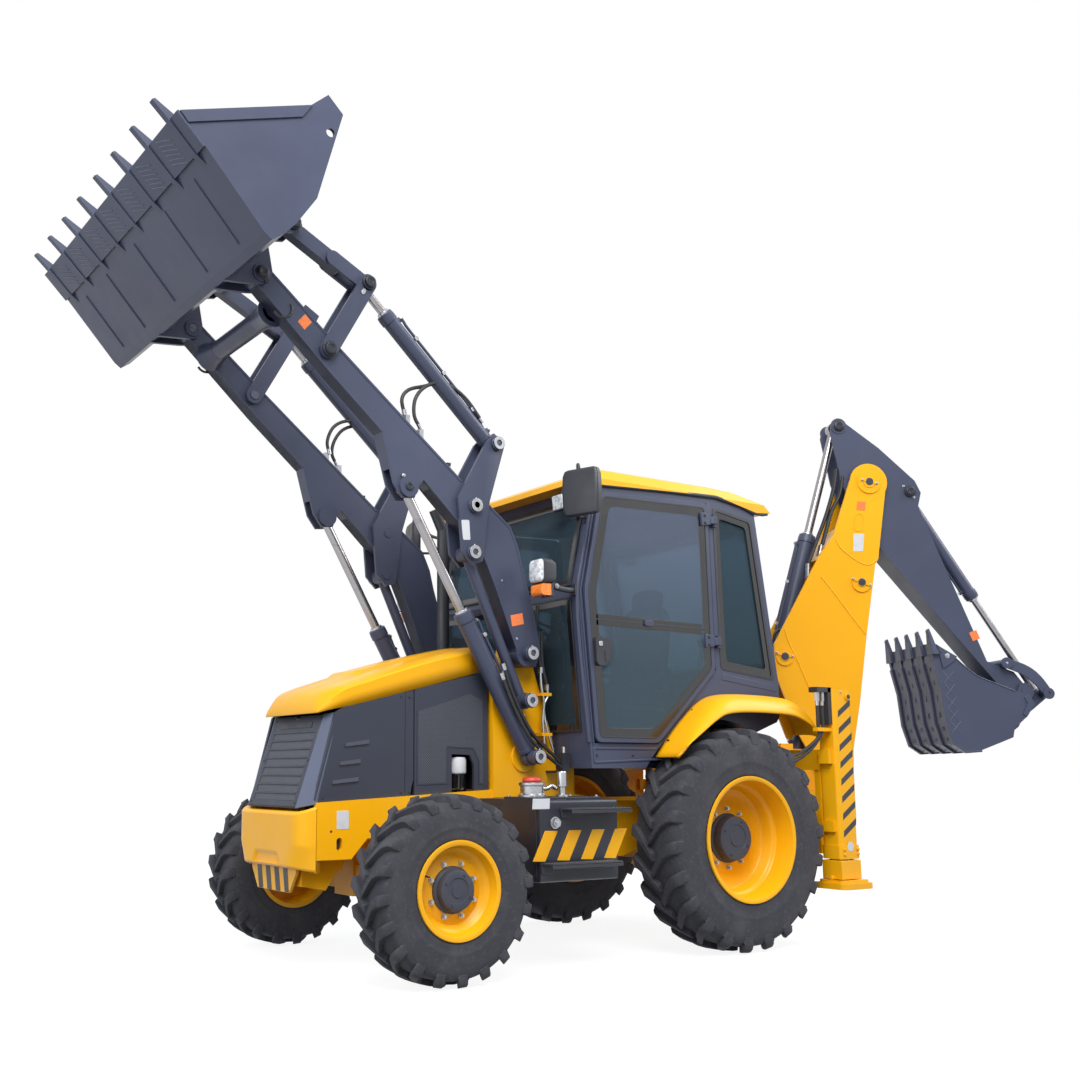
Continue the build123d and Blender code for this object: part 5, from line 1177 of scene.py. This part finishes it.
# hoe bucket: ribs, wear lines, teeth, side cutters, welds
kit = Kit("hoe_bucket_trim", "hoe_bucket")
SKIN = [(-850, 1850), (-894, 1657), (-915, 1424), (-960, 1272), (-1039, 1219), (-1150, 1228)]
RIBS = [-360 + i * 180 for i in range(5)]
for y in RIBS:
    kit["slate"].prism(H, edge_strip(SKIN, 14), y - 17, y + 17)
wear = smooth_line([Vector((x, 0, z)) for x, z in SKIN], 6)
for y in RIBS[:-1]:
    for k in range(1, len(wear) - 2, 3):
        kit["strip"].pipe([H(p.x + 3, y + 90, p.z) for p in wear[k:k + 2]], 0.004, seg=6, step=1)
for y in RIBS:
    kit["slate"].wedge(H, y, (50, -828, 1900, -872, 1900), (15, -811, 2078, -824, 2086))
for P, out in HOE_SIDES:
    kit["slate"].prism(P, [(-838, 1990), (-870, 1960), (-905, 1800), (-985, 1852), (-1010, 1885),
                           (-900, 1950)],
                       HOE_SIDE, HOE_SIDE + 12)
    kit["steel"].bolt(P(-938, 386, 1890), out, 0.014, 0.010)
    kit["black"].bolt(P(-880, 386, 1920), out, 0.012, 0.008)
    for k in range(5):
        x, z = -935 + k * 8, 1340 + k * 88
        for line in (((x, z), (x - 75, z + 88)), ((x - 75, z), (x, z + 88))):
            kit["strip"].line(P, HOE_SIDE + 1.5, line, 0.0025, seg=6, step=1)
    kit["slate"].prism(P, [(-1490, 1461), (-1552, 1555), (-1515, 1618), (-1480, 1600), (-1500, 1555),
                           (-1460, 1480)],
                       HOE_SIDE, HOE_SIDE + 9)
    kit["slate"].line(P, HOE_SIDE + 1.5, ((-1005, 1872), (-1141, 1755), (-1294, 1692), (-1420, 1642)), 0.005,
                      seg=8, step=2)
kit.done()

# ---------------------------------------------------------------- stabilizers and rear frame
LEG_STRIPES, STRIPE_STEP, SLEEVE_FACE, SLEEVE_MID = 8, 108.6, 1100, 1050
for side, hand, P, out in SIDES:
    kit = Kit("stabilizer_marks_" + side, "root")
    for k in range(LEG_STRIPES):
        z = 1424 - STRIPE_STEP * k
        kit["black"].prism(P, [(-765, z + 42), (-888, z + 123), (-886, z + 80), (-762, z)],
                           SLEEVE_FACE - 0.6, SLEEVE_FACE + 1.2)
    kit["label"].turned(P(-812, 1108, 608), out, [(0, 0), (0.030, 0), (0.030, 0.0012), (0, 0.0012)], seg=32)
    kit["black"].cyl(P(-860, 1110, 1560), P(-860, 1113, 1560), 0.015, seg=20)
    kit["steel"].bolt(P(-800, SLEEVE_FACE, 1588), out, 0.007, 0.006)
    # hoses over a dark bracket at the sleeve's top, down to the frame
    kit["black"].box(P, -730, -600, 1010, 1080, 1585, 1618)
    kit["black"].box(P, -735, -700, 1000, 1080, 1380, 1618)
    for x, low in ((-628, ((-633, 1305), (-567, 1242), (-462, 1187), (-380, 1170))),
                   (-676, ((-650, 1312), (-586, 1229), (-481, 1160), (-400, 1130)))):
        kit["steel"].cyl(P(x, SLEEVE_MID, 1528), P(x, SLEEVE_MID, 1590), 0.016, seg=6)
        kit["steel"].cyl(P(x, SLEEVE_MID, 1500), P(x, SLEEVE_MID, 1530), 0.012, seg=14)
        kit["hose"].tube(P, [(x, SLEEVE_MID, z) for z in (1502, 1430, 1360)] +
                         [(a, SLEEVE_MID - 20 * j, b) for j, (a, b) in enumerate(low)] +
                         [(-395, 860, 1110), (-420, 700, 1095)], HOSE_R)
    kit["yellow"].box(P, -730, -600, 1030, 1072, 1334, 1358)
    kit["yellow"].bolts(P, 1108, ((-880, 560), (-750, 560), (-880, 590), (-750, 590)), out, 0.010, 0.008)
    kit.done()
    kit = Kit("stabilizer_foot_" + side, "stabilizer_" + side, 0.004)
    kit["yellow"].box(P, -870, -790, 985, 1070, 398, 430)
    kit["yellow"].box(P, -908, -722, 950, 1106, 404, 522)
    kit["yellow"].cyl(P(-925, 1028, 412), P(-705, 1028, 412), 0.014)
    kit.done()
kit = Kit("rear_frame_trim", "root")
for side, hand, P, out in SIDES:
    for z in (625, 1155):
        for y in (836, 876, 916):
            kit["steel"].bolt(P(-930, y, z), BACK, 0.010, 0.010)
    # tail lamps in dark housings on brackets from the stabilizers' sleeves
    for finish, x0, x1, y0, y1, z0, z1 in (("black", -960, -930, 822, 920, 900, 1060),
                                           ("yellow", -934, -840, 890, 965, 940, 1020),
                                           ("amber", -968, -958, 828, 914, 1006, 1052),
                                           ("red", -968, -958, 828, 914, 908, 998)):
        kit[finish].box(P, x0, x1, y0, y1, z0, z1)
kit.done()
kit = Kit("carriage_trim", "carriage")
for y in (20, 480):
    for z in (640, 1000, 1200):
        kit["steel"].bolt(W(-1000, y, z), BACK, 0.014, 0.012)
kit["steel"].turned(W(-1400, 250, 980), UP, [(0, 0), (0.040, 0), (0.040, 0.008), (0.028, 0.012), (0, 0.012)],
                    seg=32)
kit.done()

# ---------------------------------------------------------------- cab
DOOR = [(1000, 1245), (1072, 2150), (935, 2775), (20, 2805), (0, 1710), (500, 1245)]
QUARTER = [(-50, 2770), (-375, 2720), (-530, 1690), (-75, 1740)]
DOOR_FACE, POST_FACE = 786, 766                            # y of the door's glass and of the posts, in mm
MIRROR, MIRROR_TURN, LAMP = (1206, 950), 18.6, (760, 2238)    # places (x, y) and (y, z) in mm, and degrees
SILL = [(1010, 1222), (515, 1222), (330, 1392), (262, 1366), (420, 1150), (1006, 1128)]


def pad(name, centre, size, power, lean, seg=40, rows=20):
    """A crowned cushion: a closed form whose sides pull in towards its corners."""
    s = Shape(name, "root", "fabric")
    bend = lambda v, p: math.copysign(abs(v) ** p, v)
    a, b, c = (v / 2000 for v in size)
    turn = Matrix.Rotation(radians(lean), 3, "Y")
    rings = []
    for j in range(1, rows):
        v = -pi / 2 + pi * j / rows
        rings.append([W(*centre) + turn @ Vector((a * bend(cos(v), power) * bend(cos(u), power),
                                                  b * bend(cos(v), power) * bend(sin(u), power),
                                                  c * bend(sin(v), power * 1.3)))
                      for u in (2 * pi * i / seg for i in range(seg))])
    s.loft(rings)
    return s.done(smooth=60)


def pane(kit, p, q, half, border=34, out=3.0):
    """A leaning window from p to q across the cab, with its dark border and seal."""
    reach, rim = (Vector(q) - Vector(p)).length, half + 12
    top, side = reach - border, half - border
    # the pane itself, in the darker glass copy: painted shade
    slabs = [("shade", 0, reach, -half, half, out, out + 4)]
    slabs += [("frit", *place, out + 4.2, out + 5.4) for place in (
        (0, border, -half, half), (top, reach, -half, half), (border, top, -half, -side),
        (border, top, side, half))]
    slabs += [("black", *place, -2, out + 7) for place in (
        (-12, 0, -rim, rim), (reach, reach + 12, -rim, rim), (0, reach, -rim, -half), (0, reach, half, rim))]
    for finish, t0, t1, y0, y1, low, high in slabs:
        kit[finish].loft([[spot(W, along(p, q, t, -o), y)
                           for t, y in ((t0, y0), (t1, y0), (t1, y1), (t0, y1))]
                          for o in (low, high)])


for side, hand, P, out in SIDES:
    kit = Kit("door_" + side, "door_" + side, 0.0025)
    ring = lambda amount, r: rounded(inset(DOOR, amount), r, 5)
    kit["slate"].rim(P, ring(5, 40), ring(34, 34), 756, 789)
    kit["black"].rim(P, ring(33, 34), ring(39, 32), 770, 791)
    kit["frit"].rim(P, ring(36, 32), ring(92, 44), DOOR_FACE + 0.5, DOOR_FACE + 2)
    kit["frit"].prism(P, [(110, 1940), (980, 1946), (980, 2012), (110, 2006)], DOOR_FACE + 0.5, DOOR_FACE + 2)
    kit["black"].prism(P, [(40, 1972), (1030, 1978), (1030, 1984), (40, 1978)], DOOR_FACE, DOOR_FACE + 3.5)
    # lock with its button, sash catch
    for finish, outline, r, steps, y0, y1 in (
            ("black", [(1004, 1872), (892, 1868), (884, 1760), (930, 1700), (1000, 1704)], 34, 5, 784, 812),
            ("steel", [(984, 1846), (956, 1846), (956, 1818), (984, 1818)], 6, 2, 811, 817),
            ("black", [(940, 1800), (900, 1796), (900, 1740), (935, 1720)], 14, 3, 811, 815),
            ("slate", [(600, 2000), (530, 2000), (530, 1962), (600, 1962)], 12, 3, DOOR_FACE, 800)):
        kit[finish].prism(P, rounded(outline, r, steps), y0, y1)
    for z in (1900, 2690):
        kit["slate"].cyl(P(-24, 800, z - 24), P(-24, 800, z + 24), 0.015, seg=20)
        kit["slate"].box(P, -17, 20, 788, 809, z - 24, z + 24)
        kit["slate"].prism(P, rounded([(14, z - 30), (96, z - 46), (96, z + 46), (14, z + 30)], 10, 2),
                           DOOR_FACE, 806)
        kit["black"].bolts(P, 806, ((68, z + 24), (68, z - 24)), out, 0.009, 0.006)
    kit.done("door_frame_" + side)
    glass = Shape("door_pane_" + side, "door_" + side, "glass")
    glass.prism(P, ring(38, 32), DOOR_FACE - 3, DOOR_FACE + 1)
    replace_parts(glass.done(), "door_glass_" + side)

    kit = Kit("quarter_" + side, "root", 0.002)
    ring = lambda amount, r: rounded(inset(QUARTER, amount), r)
    kit["black"].rim(P, ring(-16, 34), ring(4, 26), POST_FACE, POST_FACE + 7)
    kit["frit"].rim(P, ring(2, 26), ring(44, 30), POST_FACE + 0.2, POST_FACE + 1.5)
    # post behind the door and the one before it, with their rain edges
    kit["slate"].prism(P, edge_strip([(1012, 1235), (1092, 2150), (948, 2796)], 9), 765, 778)
    kit["slate"].line(P, POST_FACE, ((1034, 1250), (1100, 1900), (1104, 2150), (1070, 2320), (962, 2800)),
                      0.011, seg=10, step=4)
    kit["slate"].line(P, POST_FACE + 2, ((-14, 1720), (-6, 2300), (6, 2812)), 0.008, seg=8, step=3)
    # sill: pressed panel under the door, bolts
    kit["slate"].rim(P, rounded(SILL, 14, 3), rounded(inset(SILL, 12), 10, 3), 769, 775)
    kit["black"].bolts(P, 770, ((980, 1175), (700, 1175), (450, 1190)), out, 0.007, 0.005)
    kit["slate"].prism(P, [(-70, 1700), (-560, 1640), (-565, 1600), (-60, 1660)], 769, 773)
    # gutter under the roof's edge
    kit["black"].tube(P, ((1060, 776, 2806), (940, 778, 2812), (-60, 778, 2856), (-420, 778, 2788),
                          (-540, 776, 2796)),
                      0.012, seg=10, step=2)
    kit.done()

    # mirror on its bent tube, lamp and indicator
    kit = Kit("mirror_" + side, "root", 0.002)
    turn = Matrix.Rotation(radians(hand * MIRROR_TURN), 3, "Z")
    at_mirror = lambda x, y, z: P(*MIRROR, z) + turn @ Vector((x / 1000, y / 1000, 0))
    kit["black"].loft([[at_mirror(x, y, z)
                        for x, y in oblong(-deep / 2, deep / 2, -wide / 2, wide / 2, 22, 5)]
                       for z, deep, wide in ((2560, 26, 180), (2568, 44, 222), (2600, 58, 244),
                                             (2700, 64, 252), (2800, 60, 244), (2830, 46, 224),
                                             (2838, 30, 186))])
    kit["chrome"].loft([[at_mirror(x, y, z) for x, y in ((-30, -104), (-30, 104), (-35, 104), (-35, -104))]
                        for z in (2590, 2812)])
    kit["black"].tube(P, ((982, 742, 2700), (1090, 760, 2706), (1150, 820, 2740), (1176, 880, 2830),
                          (1196, 905, 2868), (1210, 925, 2862), (1208, 930, 2828)), 0.011)
    kit["black"].tube(P, ((1000, 742, 2600), (1080, 762, 2602), (1150, 830, 2606), (1196, 900, 2612)), 0.009,
                      seg=10)
    for x, z in ((984, 2700), (1002, 2600)):
        kit["black"].box(P, x - 16, x + 22, 728, 764, z - 26, z + 26)
    kit["black"].cyl(P(1172, 845, 2750), P(1172, 905, 2750), 0.018, seg=16)
    for finish, r, rows in (
            ("black", 30, ((1290, 84, 96), (1298, 110, 122), (1330, 132, 142), (1388, 140, 148),
                           (1398, 136, 144))),
            ("lens", 26, ((1394, 126, 134), (1404, 126, 134), (1414, 112, 120), (1419, 84, 92)))):
        kit[finish].loft([[P(x, LAMP[0] + a, LAMP[1] + b)
                           for a, b in oblong(-w / 2, w / 2, -h / 2, h / 2, r, 5)]
                          for x, w, h in rows])
    kit["amber"].prism(P, oblong(1322, 1406, 2092, 2162, 22), 708, 812)
    kit["black"].box(P, 1318, 1334, 705, 815, 2090, 2166)
    kit["black"].tube(P, ((1100, 748, 2150), (1180, 752, 2146), (1262, 756, 2158), (1300, 758, 2200)), 0.017)
    kit["black"].box(P, 1098, 1124, 728, 772, 2118, 2184)
    kit["steel"].bolt(P(1262, 772, 2160), out, 0.012, 0.010)
    made = kit.done()
    if hand > 0:
        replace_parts(made["black"], "mirrors_and_lamps")

kit = Kit("cab_windows", "root", 0.001)
pane(kit, (1037, 1326), (1101, 2104), 694)
pane(kit, (1097, 2196), (978, 2734), 694)
pane(kit, (-436, 2694), (-574, 1768), 684)
kit["black"].box(W, 1080, 1106, -60, 60, 2108, 2190)
# wipers, and the lining under the roof
for points, r in ((((1118, 60, 2150), (1104, -60, 2330), (1066, -210, 2520)), 0.006),
                  (((1090, -130, 2400), (1050, -280, 2600)), 0.009),
                  (((-600, 40, 1800), (-566, 160, 2060), (-536, 260, 2240)), 0.006)):
    kit["black"].tube(W, points, r, seg=8)
kit["black"].prism(W, [(940, 2770), (-60, 2822), (-400, 2752), (-400, 2744), (-60, 2812), (940, 2760)],
                   -690, 690)
kit.done()

# roof lamps, front then rear: housing, lens and stalk
kit = Kit("roof_lamps", "root", 0.003)
for side, hand, P, out in SIDES:
    kit["black"].prism(P, rounded([(1040, 2672), (1102, 2660), (1112, 2764), (1050, 2776)], 14, 3), 540, 660)
    kit["lens"].wedge(P, 600, (52, 1103, 2668, 1112, 2758), (48, 1111, 2670, 1119, 2754))
    kit["black"].box(P, 1052, 1072, 586, 614, 2764, 2822)
    kit["black"].prism(P, rounded([(-512, 2650), (-560, 2636), (-566, 2726), (-518, 2740)], 12, 3), 545, 655)
    kit["lens"].wedge(P, 600, (48, -561, 2644, -566, 2722), (44, -568, 2646, -573, 2718))
    kit["black"].box(P, -538, -520, 588, 612, 2726, 2806)
kit.done()

# ---------------------------------------------------------------- cab's inside
kit = Kit("driver_place", "root", 0.006)
kit["tank"].prism(W, [(-450, 1472), (380, 1472), (380, 1140), (306, 1140), (-450, 1404)], -300, 300)
kit["black"].prism(W, [(300, 1472), (-120, 1472), (-90, 1530), (270, 1530)], -190, 190)
for k in range(4):    # folds of the seat's bellows
    kit["black"].box(W, -110 + k * 2, 292 - k * 2, -196 + k * 2, 196 - k * 2, 1476 + k * 13, 1484 + k * 13)
# dash, column and wheel
kit["black"].prism(W, rounded([(960, 1150), (770, 1150), (800, 1700), (700, 1900), (760, 1930), (900, 1880),
                               (985, 1700)], 40), -150, 150)
for y in (-70, 0, 70):
    kit["frit"].cyl(W(738, y, 1898), W(732, y, 1912), 0.026, seg=24)
axis = (W(640, 0, 2050) - W(740, 0, 1900)).normalized()
kit["black"].cyl(W(740, 0, 1900), W(660, 0, 2020), 0.034, 0.028, seg=20)
wheel = W(655, 0, 2028)
rim = circle(wheel, axis, 0.185, 32)
kit["black"].pipe(rim + rim[:1], 0.014, seg=10, step=1)
u = axis.orthogonal().normalized()
v = axis.cross(u)
for k in range(3):
    a = 2 * pi * k / 3 + 0.4
    kit["black"].cyl(wheel - axis * 0.02, wheel + u * (0.18 * cos(a)) + v * (0.18 * sin(a)), 0.010, 0.008,
                     seg=10)
kit["black"].cyl(wheel - axis * 0.03, wheel + axis * 0.012, 0.042, seg=24)
# levers, their consoles, armrests and the floor
KNOB = [(0, -0.03), (0.014, -0.028), (0.022, 0.0), (0.020, 0.02), (0, 0.03)]
for x, y, z in ((420, -330, 1180), (420, -370, 1180), (-330, 330, 1480), (-330, 380, 1480),
                (-330, -380, 1480)):
    kit["steel"].tube(W, ((x, y, z), (x + 20, y, z + 260), (x + 6, y, z + 470)), 0.008, seg=8)
    kit["black"].turned(W(x + 6, y, z + 470), UP, KNOB, seg=20)
kit["tank"].box(W, -440, -180, -600, -310, 1440, 1500)
kit["tank"].box(W, -440, -180, 310, 600, 1440, 1500)
for side, hand, P, out in SIDES:
    kit["black"].prism(P, rounded([(250, 1720), (-60, 1735), (-60, 1765), (250, 1765)], 16, 3), 262, 318)
    kit["black"].box(P, -80, -40, 270, 300, 1560, 1740)
kit["black"].box(W, 300, 940, -640, 640, 1138, 1150)
kit.done("cab_interior")
for name, centre, size, power, lean in (("seat_cushion", (110, 0, 1580), (500, 480, 130), 0.42, -4),
                                        ("seat_back", (-90, 0, 1905), (130, 460, 620), 0.42, -9),
                                        ("seat_head", (-150, 0, 2262), (100, 270, 150), 0.5, -9)):
    pad(name, centre, size, power, lean)
